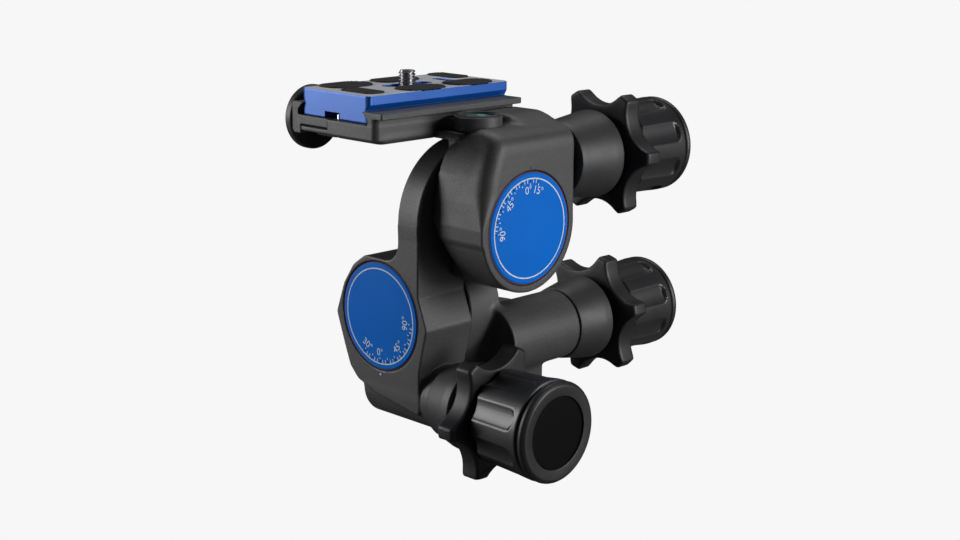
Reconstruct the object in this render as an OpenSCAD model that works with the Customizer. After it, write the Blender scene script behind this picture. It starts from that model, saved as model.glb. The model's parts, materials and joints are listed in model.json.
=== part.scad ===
// Geared three-axis tripod head with an angled arm, three worm drives and a
// screw-action quick release clamp. Millimetres, +Z up.
// Origin: centre of the base's underside, on the pan axis.
// +X runs towards the bottom knob, -Y towards the lower scale disc.

/* [Base] */
// Radius of the round foot that sits on the tripod
foot_r = 25.4; // [22:0.1:25.6]
// Thickness of the foot
foot_h = 4.5; // [3.5:0.1:4.8]
// Radius of the wider ring above the foot
skirt_r = 26; // [24:0.1:26]
// Thickness of the ring above the foot
skirt_h = 1.8; // [1:0.1:1.9]
// Radius of the turning hub inside the pan housing
hub_r = 19.6; // [17:0.1:20]
// Bore radius of the 3/8 inch tripod thread, at its crests
tripod_thread_r = 4; // [3.9:0.05:4.2]
// Depth of the tripod thread
tripod_thread_h = 12; // [10:0.5:13]

/* [Axes] */
// Height of the front tilt axis
tilt_z = 50; // [49:0.5:60]
// Offset of the front tilt axis from the pan axis, along +X
tilt_x = 0; // [-1:0.5:2]
// Height of the side tilt axis above the front tilt axis
side_rise = 36; // [35:0.5:48]
// Distance of the side tilt axis from the pan axis, along -Y
side_back = 21; // [20.5:0.5:24]

/* [Worm drives] */
// Tooth size of the wheels (module)
tooth_m = 1; // [1:0.02:1.05]
// Teeth on the pan and side tilt wheels
small_teeth = 26; // [24:2:28]
// Teeth on the front tilt wheel
large_teeth = 42; // [40:2:42]
// Pitch radius of the worms
worm_r = 8; // [7.5:0.1:8.2]
// Height of the pan worm above the foot's underside
pan_worm_z = 37.5; // [36:0.5:38.5]
// Width of the wheels
wheel_w = 7; // [5:0.5:7.5]
// Radial running clearance of shafts in their bushes
run_gap = 0.05; // [0.02:0.01:0.1]

/* [Knobs] */
// Radius of a knob at its outer end
knob_r = 18.5; // [17:0.5:19]
// Length of a knob's grip
knob_len = 27; // [22:0.5:29]
// Number of finger flutes round a knob
flutes = 8; // [6:1:10]
// Reach of the pan knob's end from the pan axis
pan_reach = 77; // [76:0.5:90]
// Reach of the front tilt knob's end from its wheel
tilt_reach = 79; // [77:0.5:96]
// Reach of the side tilt knob's end from its wheel
side_reach = 84; // [83:0.5:88]
// Radius over the lobes of a release ring
ring_r = 25; // [22:0.5:25.2]
// Thickness of a release ring
ring_w = 8; // [6:0.5:9]
// Number of lobes on a release ring
lobes = 6; // [5:1:8]

/* [Dials] */
// Radius of the two scale discs
disc_r = 20.4; // [18:0.1:20.8]
// Thickness of the two scale discs
disc_t = 1.4; // [1:0.1:1.4]

/* [Arm] */
// Thickness of the upright part of the arm, along X
arm_t = 11; // [9:0.5:11.4]
// Radius of the round flange round the side tilt axis
flange_r = 30.3; // [28:0.1:30.4]
// Depth of the arm's lower boss, along Y
boss_d = 23.5; // [22:0.5:24]

/* [Quick release] */
// Length of the quick release plate
plate_len = 70; // [60:1:84]
// Width of the plate over its top
plate_w = 37; // [34:0.5:38]
// Thickness of the plate
plate_t = 9.8; // [9:0.1:11]
// Travel of the moving jaw
jaw_travel = 2.5; // [1:0.5:3]
// Radius of the clamp knob
clamp_knob_r = 12; // [10:0.5:12.2]
// Radius of the 1/4 inch camera screw
camera_screw_r = 3.175; // [3.1:0.005:3.2]
// Height of the camera screw's thread above the plate
camera_screw_h = 5.2; // [4.5:0.1:6]

/* [Hidden] */
$fn = 64;
eps = 0.01;

// Colours
black_coat = [0.10, 0.10, 0.11];
knob_black = [0.05, 0.05, 0.06];
dial_blue = [0.0, 0.45, 0.88];
steel = [0.72, 0.72, 0.74];
brass = [0.78, 0.62, 0.32];
alloy = [0.80, 0.81, 0.83];
rubber = [0.06, 0.06, 0.06];

// Worm drives: module, pitch radii and centre distances
pitch = PI * tooth_m;
addendum = 0.8 * tooth_m;
dedendum = 1.25 * tooth_m;
worm_tip = worm_r + addendum;
worm_root = worm_r - 1.2 * tooth_m;
small_r = small_teeth * tooth_m / 2;
large_r = large_teeth * tooth_m / 2;
small_centres = small_r + worm_r;
large_centres = large_r + worm_r;
thread_len = 4 * pitch;
worm_shaft_r = 4;
worm_bush_r = 7;
bush_len = 4;
bush_wall = 2;                          // casting round a bush
thread_bay = 8;                         // half length of the space round a thread
worm_bore = worm_tip + 0.6;
chamber_gap = 0.8;                      // space round a wheel's teeth

// Heights and places that follow from the axes
side_z = tilt_z + side_rise;
side_y = -side_back;
arm_face = side_y - flange_r - 0.2;     // flat front face of the arm, square to Y
boss_back = arm_face + boss_d;
gap = 0.8;                              // visible gap between turning castings
pan_boss_y = boss_back + gap;
pan_boss_d = 15.7;
pan_boss_r = 23.5;
tilt_worm_y = arm_face + 12.4;
tilt_worm_z = tilt_z - large_centres;
side_x = tilt_x + 36.2;                 // middle plane of the side tilt wheel
side_worm_z = side_z + small_centres;
pan_worm_x = small_centres;
arm_x0 = tilt_x + 20.8 - arm_t;
arm_x1 = tilt_x + 20.8;
head_x0 = arm_x1 + gap;
head_x1 = tilt_x + 47;
tube_r = 13.5;                          // worm tube of the pan housing
arm_tube_r = 12.2;                      // worm tube of the arm
crown_r = 15;                           // rounded top of the upper housing

// Pan bearing
skirt_top = foot_h + skirt_h;
washer_t = 0.7;
housing_z = skirt_top + washer_t;
hub_top = 24;
neck_r = 9;
wheel_z0 = pan_worm_z - wheel_w / 2;
wheel_z1 = pan_worm_z + wheel_w / 2;
drum_r = 25.5;
drum_top_r = 21.5;
drum_step = 34;
drum_top = wheel_z1 + 2.8;
pan_shaft_r = 6;
insert_r = 9;
nut_z = tripod_thread_h + 0.3;
nut_h = 5;

// Knob sets: places along the worm axis, counted back from the knob's end
ring_gap = 0.6;
function ring_z1(reach) = reach - knob_len - ring_gap;
function ring_z0(reach) = ring_z1(reach) - ring_w;
function sleeve_z1(reach) = ring_z0(reach) - 2.5;
sleeve_root_r = 14.6;
sleeve_end_r = 16.6;
neck_of_sleeve_r = 12;
spigot_len = 9;

// Shafts of the two tilt axes
tilt_shaft_r = 6.5;
side_shaft_r = 6;
head_of_shaft = 1.6;

// Platform
plate_x = tilt_x - 8.2;
plate_y = side_y - 8.6;
deck_z = side_z + 31;                   // underside of the clamp, clears the flange
floor_z = deck_z + 6.9;
plate_z0 = floor_z + 0.05;
plate_z1 = plate_z0 + plate_t;
lip_w = plate_w + 2.4;                  // width over the plate's dovetail lips
waist_w = plate_w - 3.6;
jaw_top = floor_z + 4.6;
rail_t = 2.3;                           // overhanging edge of the fixed rail
clamp_len = plate_len;
jaw_fit = 0.1;                          // gap between plate and jaws
fixed_jaw_x1 = plate_x + plate_w / 2 + 9;
clamp_side_x1 = fixed_jaw_x1 - 3.3;     // clamp's side, set back under the rail
clamp_screw_y = side_y - 33;
clamp_screw_z = side_z + 35.4;
clamp_screw_r = 2;
jaw_w = 4.5;
level_x = tilt_x + 27.3;
level_y = side_y - 6.6;
level_r = 8.7;
level_top = side_z + 40;
neck_x0 = tilt_x + 6;
neck_y0 = -17;
neck_w = 40;
neck_t = 3;
hump_x1 = tilt_x + 37;
hump_top = side_z + 39.3;

// ---- placing ---------------------------------------------------------------

// Stand a shape that is drawn along +Z along +X, +Y or -Y.
module along_x() { rotate([0, 90, 0]) children(); }
module along_y() { rotate([-90, 0, 0]) children(); }

// Worm frames: +Z runs out along the worm, -X points at the wheel.
module pan_drive() { translate([pan_worm_x, 0, pan_worm_z]) along_y() children(); }
module tilt_drive() { translate([tilt_x, tilt_worm_y, tilt_worm_z]) along_x() children(); }
module side_drive() {
  translate([side_x, side_y, side_worm_z]) along_y() rotate([0, 0, -90]) children();
}

// Wheel axes: the frame's +X points at the worm.
module tilt_axis() { translate([tilt_x, 0, tilt_z]) rotate([90, 0, 0]) rotate([0, 0, -90]) children(); }
module side_axis() { translate([0, side_y, side_z]) along_x() rotate([0, 0, 180]) children(); }

module ring(r_out, r_in, h) {
  difference() {
    cylinder(r = r_out, h = h);
    translate([0, 0, -1]) cylinder(r = r_in, h = h + 2);
  }
}

// ---- worm drive ------------------------------------------------------------

module worm_wheel(teeth, bore_r) {
  r = teeth * tooth_m / 2;
  root = r - dedendum;
  tip = r + addendum;
  linear_extrude(wheel_w, center = true) difference() {
    union() {
      circle(r = root + 0.3);
      for (i = [0:teeth - 1]) rotate((i + 0.5) * 360 / teeth)
        polygon([[root, -0.9 * tooth_m], [tip, -0.3 * tooth_m], [tip, 0.3 * tooth_m], [root, 0.9 * tooth_m]]);
    }
    circle(r = bore_r);
  }
}

// Single-start thread: a one-lobed outline turned along the axis.
module worm_thread() {
  steps = 12;
  function edge(a) = let (t = abs(a - 180)) t < 40 ? worm_tip : t > 105 ? worm_root
    : worm_tip - (worm_tip - worm_root) * (t - 40) / 65;
  linear_extrude(thread_len, twist = -360 * thread_len / pitch, slices = 4 * steps,
      segments = steps, center = true)
    polygon([for (a = [0:360 / steps:359]) edge(a) * [cos(a), sin(a)]]);
}

module worm(reach) color(steel) {
  end = reach - 8;
  worm_thread();
  translate([0, 0, thread_len / 2]) cylinder(r = worm_shaft_r, h = end - thread_len / 2);
  translate([0, 0, -thread_bay - bush_len])
    cylinder(r = worm_shaft_r, h = thread_bay + bush_len - thread_len / 2);
}

// Two bushes: one behind the thread, one in the neck of the sleeve.
module worm_bushes(reach) color(brass) {
  translate([0, 0, -thread_bay - bush_len]) ring(worm_bush_r, worm_shaft_r + run_gap, bush_len);
  translate([0, 0, ring_z1(reach) - bush_len]) ring(worm_bush_r, worm_shaft_r + run_gap, bush_len);
}

// Room for the worm inside a casting, out to where the sleeve plugs in.
module worm_room(sleeve_z0) {
  translate([0, 0, -thread_bay]) cylinder(r = worm_bore, h = thread_bay + sleeve_z0 + 1);
  translate([0, 0, -thread_bay - bush_len]) cylinder(r = worm_bush_r, h = bush_len + 1);
}

module sleeve(reach, z0) color(black_coat) {
  z1 = sleeve_z1(reach);
  neck_end = ring_z1(reach);
  difference() {
    union() {
      translate([0, 0, z0 - spigot_len]) cylinder(r = worm_bore, h = spigot_len + 1);
      translate([0, 0, z0]) cylinder(r1 = sleeve_root_r, r2 = sleeve_end_r, h = z1 - z0 - 2);
      translate([0, 0, z1 - 2 - eps]) cylinder(r = sleeve_end_r, h = 2 + eps);
      translate([0, 0, z1 - eps]) cylinder(r = neck_of_sleeve_r, h = neck_end - z1 + eps);
    }
    translate([0, 0, z0 - spigot_len - 1]) cylinder(r = worm_shaft_r + 1, h = neck_end);
    translate([0, 0, neck_end - bush_len]) cylinder(r = worm_bush_r, h = bush_len + 1);
  }
}

// Lobed ring that is turned to lift the worm out of mesh.
module release_ring(reach, turn) color(knob_black) rotate([0, 0, turn]) {
  scoop_r = 9;
  valley = sleeve_end_r + 1.6;
  translate([0, 0, ring_z0(reach)]) difference() {
    cylinder(r = ring_r, h = ring_w);
    for (i = [0:lobes - 1]) rotate([0, 0, (i + 0.5) * 360 / lobes])
      translate([valley + scoop_r, 0, -1]) cylinder(r = scoop_r, h = ring_w + 2);
    translate([0, 0, -1]) cylinder(r = neck_of_sleeve_r + run_gap, h = ring_w + 2);
  }
}

module knob_grip(reach) color(knob_black) {
  flute_r = 7;
  flute_deep = 1.5;
  root_r = knob_r - 0.8;
  cap_r = 0.7 * knob_r;
  z0 = reach - knob_len;
  difference() {
    union() {
      translate([0, 0, z0]) cylinder(r1 = root_r, r2 = knob_r, h = knob_len - 2);
      translate([0, 0, reach - 2 - eps]) cylinder(r1 = knob_r, r2 = knob_r - 0.9, h = 2);
    }
    for (i = [0:flutes - 1]) rotate([0, 0, (i + 0.5) * 360 / flutes])
      translate([knob_r + flute_r - flute_deep, 0, z0 - 1]) {
        cylinder(r = flute_r, h = knob_len - 9);
        translate([0, 0, knob_len - 9]) sphere(r = flute_r);
      }
    translate([0, 0, reach - 1.2]) cylinder(r = cap_r, h = 2);
    translate([0, 0, z0 - 1]) cylinder(r = worm_shaft_r, h = knob_len - 7);
  }
}

module knob_cap(reach) color(rubber)
  translate([0, 0, reach - 1.2]) cylinder(r = 0.7 * knob_r - 0.15, h = 0.8);

// ---- base ------------------------------------------------------------------

module base_plate() color(black_coat) difference() {
  union() {
    cylinder(r1 = foot_r - 0.8, r2 = foot_r, h = 0.8);
    translate([0, 0, 0.8 - eps]) cylinder(r = foot_r, h = foot_h - 0.8 + eps);
    translate([0, 0, foot_h - eps]) cylinder(r = skirt_r, h = skirt_h + eps);
    cylinder(r = hub_r, h = hub_top);
    cylinder(r = neck_r, h = wheel_z1);
  }
  translate([0, 0, -1]) cylinder(r = insert_r, h = tripod_thread_h + 1);
  cylinder(r = insert_r, h = nut_z + nut_h + 1);
  cylinder(r = pan_shaft_r + run_gap, h = wheel_z1 + 1);
}

module thread_insert() color(steel) ring(insert_r, tripod_thread_r, tripod_thread_h);

module pan_wheel() color(brass)
  translate([0, 0, pan_worm_z]) worm_wheel(small_teeth, neck_r);

// ---- pan body --------------------------------------------------------------

module pan_housing() color(black_coat) difference() {
  union() {
    translate([0, 0, housing_z]) cylinder(r1 = drum_r - 1, r2 = drum_r, h = 2);
    translate([0, 0, housing_z + 2 - eps]) cylinder(r = drum_r, h = drum_step - housing_z - 2);
    translate([0, 0, drum_step - 0.1]) cylinder(r1 = drum_r, r2 = drum_top_r, h = 4);
    translate([0, 0, drum_step]) cylinder(r = drum_top_r, h = drum_top - drum_step);
    translate([tilt_x, pan_boss_y, tilt_z]) along_y() cylinder(r = pan_boss_r, h = pan_boss_d);
    pan_drive() translate([0, 0, -pan_tube_end]) cylinder(r = tube_r, h = pan_tube_end + pan_sleeve_z0);
  }
  // turning fit on the hub, room over the wheel, shaft bore
  translate([0, 0, housing_z - 1]) cylinder(r = hub_r + run_gap, h = hub_top + 0.4 - housing_z + 1);
  translate([0, 0, hub_top]) cylinder(r = small_r + addendum + chamber_gap, h = wheel_z1 + 0.5 - hub_top);
  cylinder(r = pan_shaft_r, h = drum_top + 1);
  pan_drive() worm_room(pan_sleeve_z0);
  pan_drive() translate([0, 0, pan_sleeve_z0]) cylinder(r = sleeve_end_r + gap, h = drum_r);
  // tilt shaft bore and its clamping screw
  translate([tilt_x, pan_boss_y - 1, tilt_z]) along_y() cylinder(r = tilt_shaft_r, h = pan_boss_d - 2);
  translate([tilt_x, tilt_screw_y, tilt_z]) cylinder(r = grub_r, h = 2 * pan_boss_r);
}
pan_sleeve_z0 = 22;
pan_tube_end = thread_bay + bush_len + 3;
grub_r = 2.5;
tilt_screw_y = pan_boss_y + 8;

// Shoulder bolt that holds the pan housing down on the base.
module pan_shaft() color(steel) difference() {
  union() {
    translate([0, 0, nut_z]) cylinder(r = pan_shaft_r, h = drum_top - nut_z + eps);
    translate([0, 0, drum_top]) cylinder(r = neck_r, h = 2);
  }
  translate([0, 0, drum_top - 2]) cylinder(r = 3, h = 5, $fn = 6);
}

module pan_nut() color(steel)
  translate([0, 0, nut_z + 0.2]) difference() {
    cylinder(r = 8.6, h = nut_h, $fn = 6);
    translate([0, 0, -1]) cylinder(r = pan_shaft_r, h = nut_h + 2);
  }

module pan_washer() color(brass)
  translate([0, 0, skirt_top]) ring(drum_r - 1.5, hub_r + 0.4, washer_t);

module tilt_shaft() color(steel) {
  z0 = -(pan_boss_y + pan_boss_d - 4);
  tilt_axis() {
    translate([0, 0, z0]) cylinder(r = tilt_shaft_r, h = -arm_face - disc_t - 0.3 - z0);
    translate([0, 0, -arm_face - disc_t - 0.3 - head_of_shaft]) cylinder(r = 12, h = head_of_shaft);
  }
}

module tilt_wheel() color(brass)
  tilt_axis() translate([0, 0, -tilt_worm_y]) worm_wheel(large_teeth, tilt_shaft_r);

module tilt_shaft_screw() color(steel)
  translate([tilt_x, tilt_screw_y, tilt_z + tilt_shaft_r])
    cylinder(r = grub_r, h = pan_boss_r - tilt_shaft_r - 1.5);

module tilt_scale_disc() color(dial_blue)
  tilt_axis() translate([0, 0, -arm_face - disc_t - 0.3]) cylinder(r = disc_r, h = disc_t + 0.4);

module pan_sleeve() pan_drive() sleeve(pan_reach, pan_sleeve_z0);
module pan_worm_bushes() pan_drive() worm_bushes(pan_reach);
module pan_worm() pan_drive() worm(pan_reach);
module pan_knob_grip() pan_drive() knob_grip(pan_reach);
module pan_knob_cap() pan_drive() knob_cap(pan_reach);
module pan_release_ring() pan_drive() release_ring(pan_reach, -14);

// ---- arm -------------------------------------------------------------------

// Outline of the lower boss, seen from the front, from the tilt axis.
boss_outline = [[-25, -2.5], [-20.5, 9.5], [-15, 17.5], [-8.5, 22], [9, 22], [20.8, 22],
  [20.8, 10.5], [25.2, -1], [21, -18], [21, -34], [-2, -30.3], [-13, -27], [-17.5, -22.5], [-20.5, -15]];
tilt_sleeve_z0 = 26.5;

module arm() color(black_coat) difference() {
  union() {
    translate([tilt_x, arm_face + boss_d, tilt_z]) rotate([90, 0, 0])
      linear_extrude(boss_d) polygon(boss_outline);
    translate([arm_x0, arm_face, tilt_z]) cube([arm_t, boss_d, side_rise]);
    translate([arm_x0, side_y, side_z]) along_x() cylinder(r = flange_r, h = arm_t);
    translate([arm_x0, arm_face, side_z - 18]) cube([arm_t, 4, 18]);
    tilt_drive() translate([0, 0, -thread_bay - bush_wall])
      cylinder(r = arm_tube_r, h = thread_bay + bush_wall + tilt_sleeve_z0);
    tilt_drive() translate([0, 0, -thread_bay - bush_len - bush_wall])
      cylinder(r = worm_bush_r + bush_wall, h = bush_len + 1);
  }
  // relief round the pan body's boss
  translate([tilt_x, boss_back + eps, tilt_z]) along_y() cylinder(r = pan_boss_r + gap, h = 60);
  translate([arm_x0 - 1, boss_back + eps, tilt_z]) cube([arm_t + 2, 60, 17]);
  // scale disc recess, shaft bush, wheel chamber and worm room
  translate([tilt_x, arm_face - 1, tilt_z]) along_y()
    cylinder(r = disc_r + 0.4, h = 1 + disc_t + 0.3 + head_of_shaft + 0.3);
  translate([tilt_x, arm_face, tilt_z]) along_y() cylinder(r = 10, h = boss_d + 1);
  translate([tilt_x, tilt_worm_y - wheel_w / 2 - 1, tilt_z]) along_y()
    cylinder(r = large_r + addendum + 0.4, h = boss_d);
  tilt_drive() worm_room(tilt_sleeve_z0);
  // bore for the side tilt shaft and its clamping screw
  side_axis() translate([0, 0, arm_x0 - 1]) cylinder(r = side_shaft_r, h = arm_t + 2);
  translate([(arm_x0 + arm_x1) / 2, side_y, side_z]) along_y() cylinder(r = grub_r, h = flange_r + 1);
  // index dot
  translate([tilt_x, arm_face - 1, dot_tilt_z]) along_y() cylinder(r = dot_r, h = 2);
}
dot_r = 0.8;
dot_tilt_z = tilt_z - 22.4;
tilt_front_bush_y = arm_face + disc_t + 0.6 + head_of_shaft;

module tilt_bushes() color(brass) {
  translate([tilt_x, tilt_front_bush_y, tilt_z]) along_y()
    ring(10, tilt_shaft_r + run_gap, tilt_worm_y - wheel_w / 2 - 0.5 - tilt_front_bush_y);
  translate([tilt_x, boss_back - 3.4, tilt_z]) along_y() ring(10, tilt_shaft_r + run_gap, 3);
}

module tilt_chamber_cover() color(black_coat)
  translate([tilt_x, boss_back - 3.4, tilt_z]) along_y() ring(large_r + addendum + 0.4, 10, 2.6);

module tilt_index_dot() color("white")
  translate([tilt_x, arm_face - 0.02, dot_tilt_z]) along_y() cylinder(r = dot_r, h = 1.02);

module side_shaft() color(steel) {
  z1 = head_x1 - disc_t - 0.3;
  side_axis() {
    translate([0, 0, arm_x0 + 0.5]) cylinder(r = side_shaft_r, h = z1 - arm_x0 - 0.5);
    translate([0, 0, z1 - head_of_shaft]) cylinder(r = 11, h = head_of_shaft);
  }
}

module side_wheel() color(brass)
  side_axis() translate([0, 0, side_x]) worm_wheel(small_teeth, side_shaft_r);

module side_shaft_screw() color(steel)
  translate([(arm_x0 + arm_x1) / 2, side_y + side_shaft_r, side_z]) along_y()
    cylinder(r = grub_r, h = flange_r - side_shaft_r - 1);

module side_scale_disc() color(dial_blue)
  side_axis() translate([0, 0, head_x1 - disc_t - 0.3]) cylinder(r = disc_r, h = disc_t + 0.4);

module tilt_sleeve() tilt_drive() sleeve(tilt_reach, tilt_sleeve_z0);
module tilt_worm_bushes() tilt_drive() worm_bushes(tilt_reach);
module tilt_worm() tilt_drive() worm(tilt_reach);
module tilt_knob_grip() tilt_drive() knob_grip(tilt_reach);
module tilt_knob_cap() tilt_drive() knob_cap(tilt_reach);
module tilt_release_ring() tilt_drive() release_ring(tilt_reach, 0);

// ---- head ------------------------------------------------------------------

head_r = 23.6;
head_end = 23.5;                        // face under the sleeve, from the side tilt axis
side_sleeve_z0 = head_end + 1;
dot_side_z = side_z + 22;

// Outline of the upper housing seen along the side tilt axis, from that axis.
module head_outline() {
  circle(r = head_r);
  polygon([[-24, -5], [-24.2, 2], [-23, 11], [-21.4, 20], [-17.6, 31], [-15.5, 50],
    [head_end, 50], [head_end, -4]]);
}

module upper_housing() color(black_coat) difference() {
  union() {
    intersection() {
      translate([head_x0, side_y, side_z]) rotate([90, 0, 90]) linear_extrude(head_x1 - head_x0) head_outline();
      translate([0, side_y + head_end, 0]) rotate([90, 0, 0]) linear_extrude(2 * head_end + 2) union() {
        translate([head_x0, side_z - head_end - 1]) square([head_x1 - head_x0, head_end + 1 + small_centres]);
        translate([side_x, side_worm_z]) circle(r = crown_r);
      }
    }
    // neck that carries the clamp, and the hump behind the level
    translate([neck_x0, side_y + neck_y0, deck_z]) cube([head_x0 + 6 - neck_x0, neck_w, neck_t]);
    translate([head_x0, side_y + neck_y0, side_z + 20]) cube([6, neck_w, deck_z + neck_t - side_z - 20]);
    translate([clamp_side_x1 + 0.3, hump_y0, deck_z + neck_t - 1])
      cube([hump_x1 - clamp_side_x1 - 0.3, side_y + neck_y0 + neck_w - hump_y0,
        hump_top - deck_z - neck_t + 1]);
    side_drive() translate([0, 0, head_end - 1]) cylinder(r = sleeve_root_r - bush_wall, h = 2);
  }
  translate([level_x, level_y, deck_z + neck_t]) cylinder(r = level_r + run_gap, h = crown_r);
  side_drive() worm_room(side_sleeve_z0);
  side_axis() translate([0, 0, head_x0 - 1]) cylinder(r = 9, h = head_x1 - head_x0);
  side_axis() translate([0, 0, head_x0 - 1])
    cylinder(r = small_r + addendum + chamber_gap, h = side_x + wheel_w / 2 + 1 - head_x0 + 1);
  side_axis() translate([0, 0, head_x1 - disc_t - 0.6 - head_of_shaft]) cylinder(r = disc_r + 0.4, h = 10);
  translate([head_x1 - 1, side_y, dot_side_z]) along_x() cylinder(r = dot_r, h = 2);
  bolt_places() translate([0, 0, deck_z + 0.4]) cylinder(r = bolt_r, h = neck_t);
}
bolt_r = 2;
hump_y0 = level_y + level_r + 1;
module bolt_places() for (y = [5, neck_w - 5]) translate([neck_x0 + 5, side_y + neck_y0 + y, 0]) children();

module side_bushes() color(brass) side_axis() {
  translate([0, 0, head_x0 + 0.4]) ring(9, side_shaft_r + run_gap, 3);
  translate([0, 0, side_x + wheel_w / 2 + 1])
    ring(9, side_shaft_r + run_gap, head_x1 - disc_t - 0.6 - head_of_shaft - side_x - wheel_w / 2 - 1);
}

module side_chamber_cover() color(black_coat) side_axis()
  translate([0, 0, head_x0 + 0.4]) ring(small_r + addendum + chamber_gap, 9, 2.6);

module side_index_dot() color("white")
  translate([head_x1 - 1, side_y, dot_side_z]) along_x() cylinder(r = dot_r, h = 1.02);

module side_sleeve() side_drive() sleeve(side_reach, side_sleeve_z0);
module side_worm_bushes() side_drive() worm_bushes(side_reach);
module side_worm() side_drive() worm(side_reach);
module side_knob_grip() side_drive() knob_grip(side_reach);
module side_knob_cap() side_drive() knob_cap(side_reach);
module side_release_ring() side_drive() release_ring(side_reach, 0);

// ---- quick release ---------------------------------------------------------

// Half of the plate's dovetail section, from its middle: [across, height].
module plate_section(grow = 0) {
  t = plate_w / 2 + grow;
  l = lip_w / 2 + grow;
  w = waist_w / 2 + grow;
  polygon([[-t, plate_t + 1], [-t, shoulder_h], [-w, waist_h], [-l, lip_h], [-l, 0],
    [l, 0], [l, lip_h], [w, waist_h], [t, shoulder_h], [t, plate_t + 1]]);
}
lip_h = 1.6;
waist_h = 4.6;
shoulder_h = 6.4;

module clamp_body() color(black_coat) difference() {
  union() {
    translate([clamp_x0, clamp_y0, deck_z + 1.5])
      cube([clamp_side_x1 - clamp_x0, clamp_len, floor_z - deck_z - 1.5]);
    translate([clamp_x0 + 6, clamp_y0 + 2, deck_z]) cube([clamp_side_x1 - clamp_x0 - 6, clamp_len - 8, 3]);
    translate([plate_x, clamp_y0, floor_z - eps]) cube([clamp_side_x1 - plate_x, clamp_len, jaw_top - floor_z]);
    translate([clamp_side_x1 - 1, clamp_y0, jaw_top - rail_t])
      cube([fixed_jaw_x1 - clamp_side_x1 + 1, clamp_len, rail_t]);
    // pod of the level
    translate([level_x, level_y, deck_z + neck_t]) cylinder(r = level_r, h = level_top - 0.6 - deck_z - neck_t);
    translate([clamp_side_x1 - 1, level_y - level_r + 2, deck_z + neck_t])
      cube([level_x - clamp_side_x1, 2 * level_r - 4, level_top - 2 - deck_z - neck_t]);
  }
  // dovetail channel, open towards the moving jaw
  plate_place() linear_extrude(2 * clamp_len, center = true) plate_section(jaw_fit);
  // seat of the moving jaw's tongue
  translate([clamp_x0 - 1, clamp_y0 - 1, tongue_z0 - 0.3])
    cube([tongue_x1 + 0.3 - clamp_x0 + 1, tongue_y1 + 0.3 - clamp_y0 + 1, floor_z]);
  translate([clamp_x0 - 1, clamp_y0 - 1, floor_z]) cube([plate_x - clamp_x0 + 1, clamp_len + 2, 10]);
  // seat on the neck and its bolts
  translate([neck_x0, side_y + neck_y0, deck_z - 1]) cube([clamp_side_x1 - neck_x0 + 1, neck_w, neck_t + 1]);
  bolt_places() translate([0, 0, deck_z]) cylinder(r = bolt_r, h = 12);
  bolt_places() translate([0, 0, floor_z - 2]) cylinder(r = bolt_head_r + 0.3, h = 4);
  // level, clamp screw, safety pin
  translate([level_x, level_y, level_top - 5]) cylinder(r = level_r - 0.8, h = 6);
  translate([clamp_x0 - 1, clamp_screw_y, clamp_screw_z]) along_x()
    cylinder(r = clamp_screw_r, h = screw_in_body + 1);
  translate([pin_x, pin_y, deck_z - 1]) cylinder(r = pin_r + run_gap, h = 12);
  translate([pin_x, pin_y, deck_z - 1]) cylinder(r = pin_r + 1.3, h = 5);
}
bolt_head_r = 3.6;
screw_in_body = 15.5 + jaw_travel;

// Frame of the plate: drawn across X and up, extruded along Y.
module plate_place() translate([plate_x, plate_y, plate_z0]) rotate([90, 0, 0]) children();

clamp_x0 = plate_x - plate_w / 2;
clamp_y0 = plate_y - plate_len / 2 - 2;
pin_r = 1.6;
pin_x = plate_x + 0.6;
notch_w = 8;                            // notch for the pin in the plate's end
pin_y = clamp_y0 + 4.5;
pin_out = 1.9;
tongue_x1 = pin_x - pin_r - 1.5;        // tongue of the moving jaw under the plate
tongue_z0 = floor_z - 3.6;
tongue_y1 = pin_y + 3;
plate_travel = 6;
screw_travel = 8;

module clamp_bolts() color(steel) bolt_places() {
  translate([0, 0, deck_z + 0.5]) cylinder(r = bolt_r, h = floor_z - 2 - deck_z - 0.5);
  translate([0, 0, floor_z - 2]) difference() {
    cylinder(r = bolt_head_r, h = 1.8);
    translate([0, 0, 0.6]) cylinder(r = 1.3, h = 2, $fn = 6);
  }
}

module level_bezel() color(knob_black)
  translate([level_x, level_y, level_top - 5]) ring(level_r - 0.8, level_r - 2.7, 5);
module level_vial() color([0.25, 0.75, 0.35])
  translate([level_x, level_y, level_top - 5]) cylinder(r = level_r - 2.7, h = 4.4);

module moving_jaw() color(black_coat) difference() {
  union() {
    translate([plate_x, clamp_y0 + clamp_len / 2, plate_z0]) rotate([90, 0, 0])
      linear_extrude(clamp_len - 2, center = true) jaw_section();
    translate([clamp_x0 - 1, clamp_y0 + 1, tongue_z0])
      cube([tongue_x1 - clamp_x0 + 1, tongue_y1 - clamp_y0 - 1, plate_z0 - 0.1 - tongue_z0]);
  }
  translate([clamp_x0 - jaw_w - 1, clamp_screw_y, clamp_screw_z]) along_x()
    cylinder(r = clamp_screw_r + 0.25, h = 30);
}

// Jaw section in the plate's frame: a block outside the clamp, hooked over the plate's lip.
module jaw_section() {
  outer = clamp_x0 - jaw_w - plate_x;
  inner = clamp_x0 - 0.1 - plate_x;
  top = jaw_top - plate_z0;
  lip = lip_w / 2 + jaw_fit;
  slope = (lip_w - waist_w) / 2 / (waist_h - lip_h);
  polygon([[outer, deck_z - plate_z0], [inner, deck_z - plate_z0], [inner, -0.05], [-lip, -0.05],
    [-lip, lip_h], [-lip + (top - lip_h) * slope, top], [outer, top]]);
}

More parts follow.
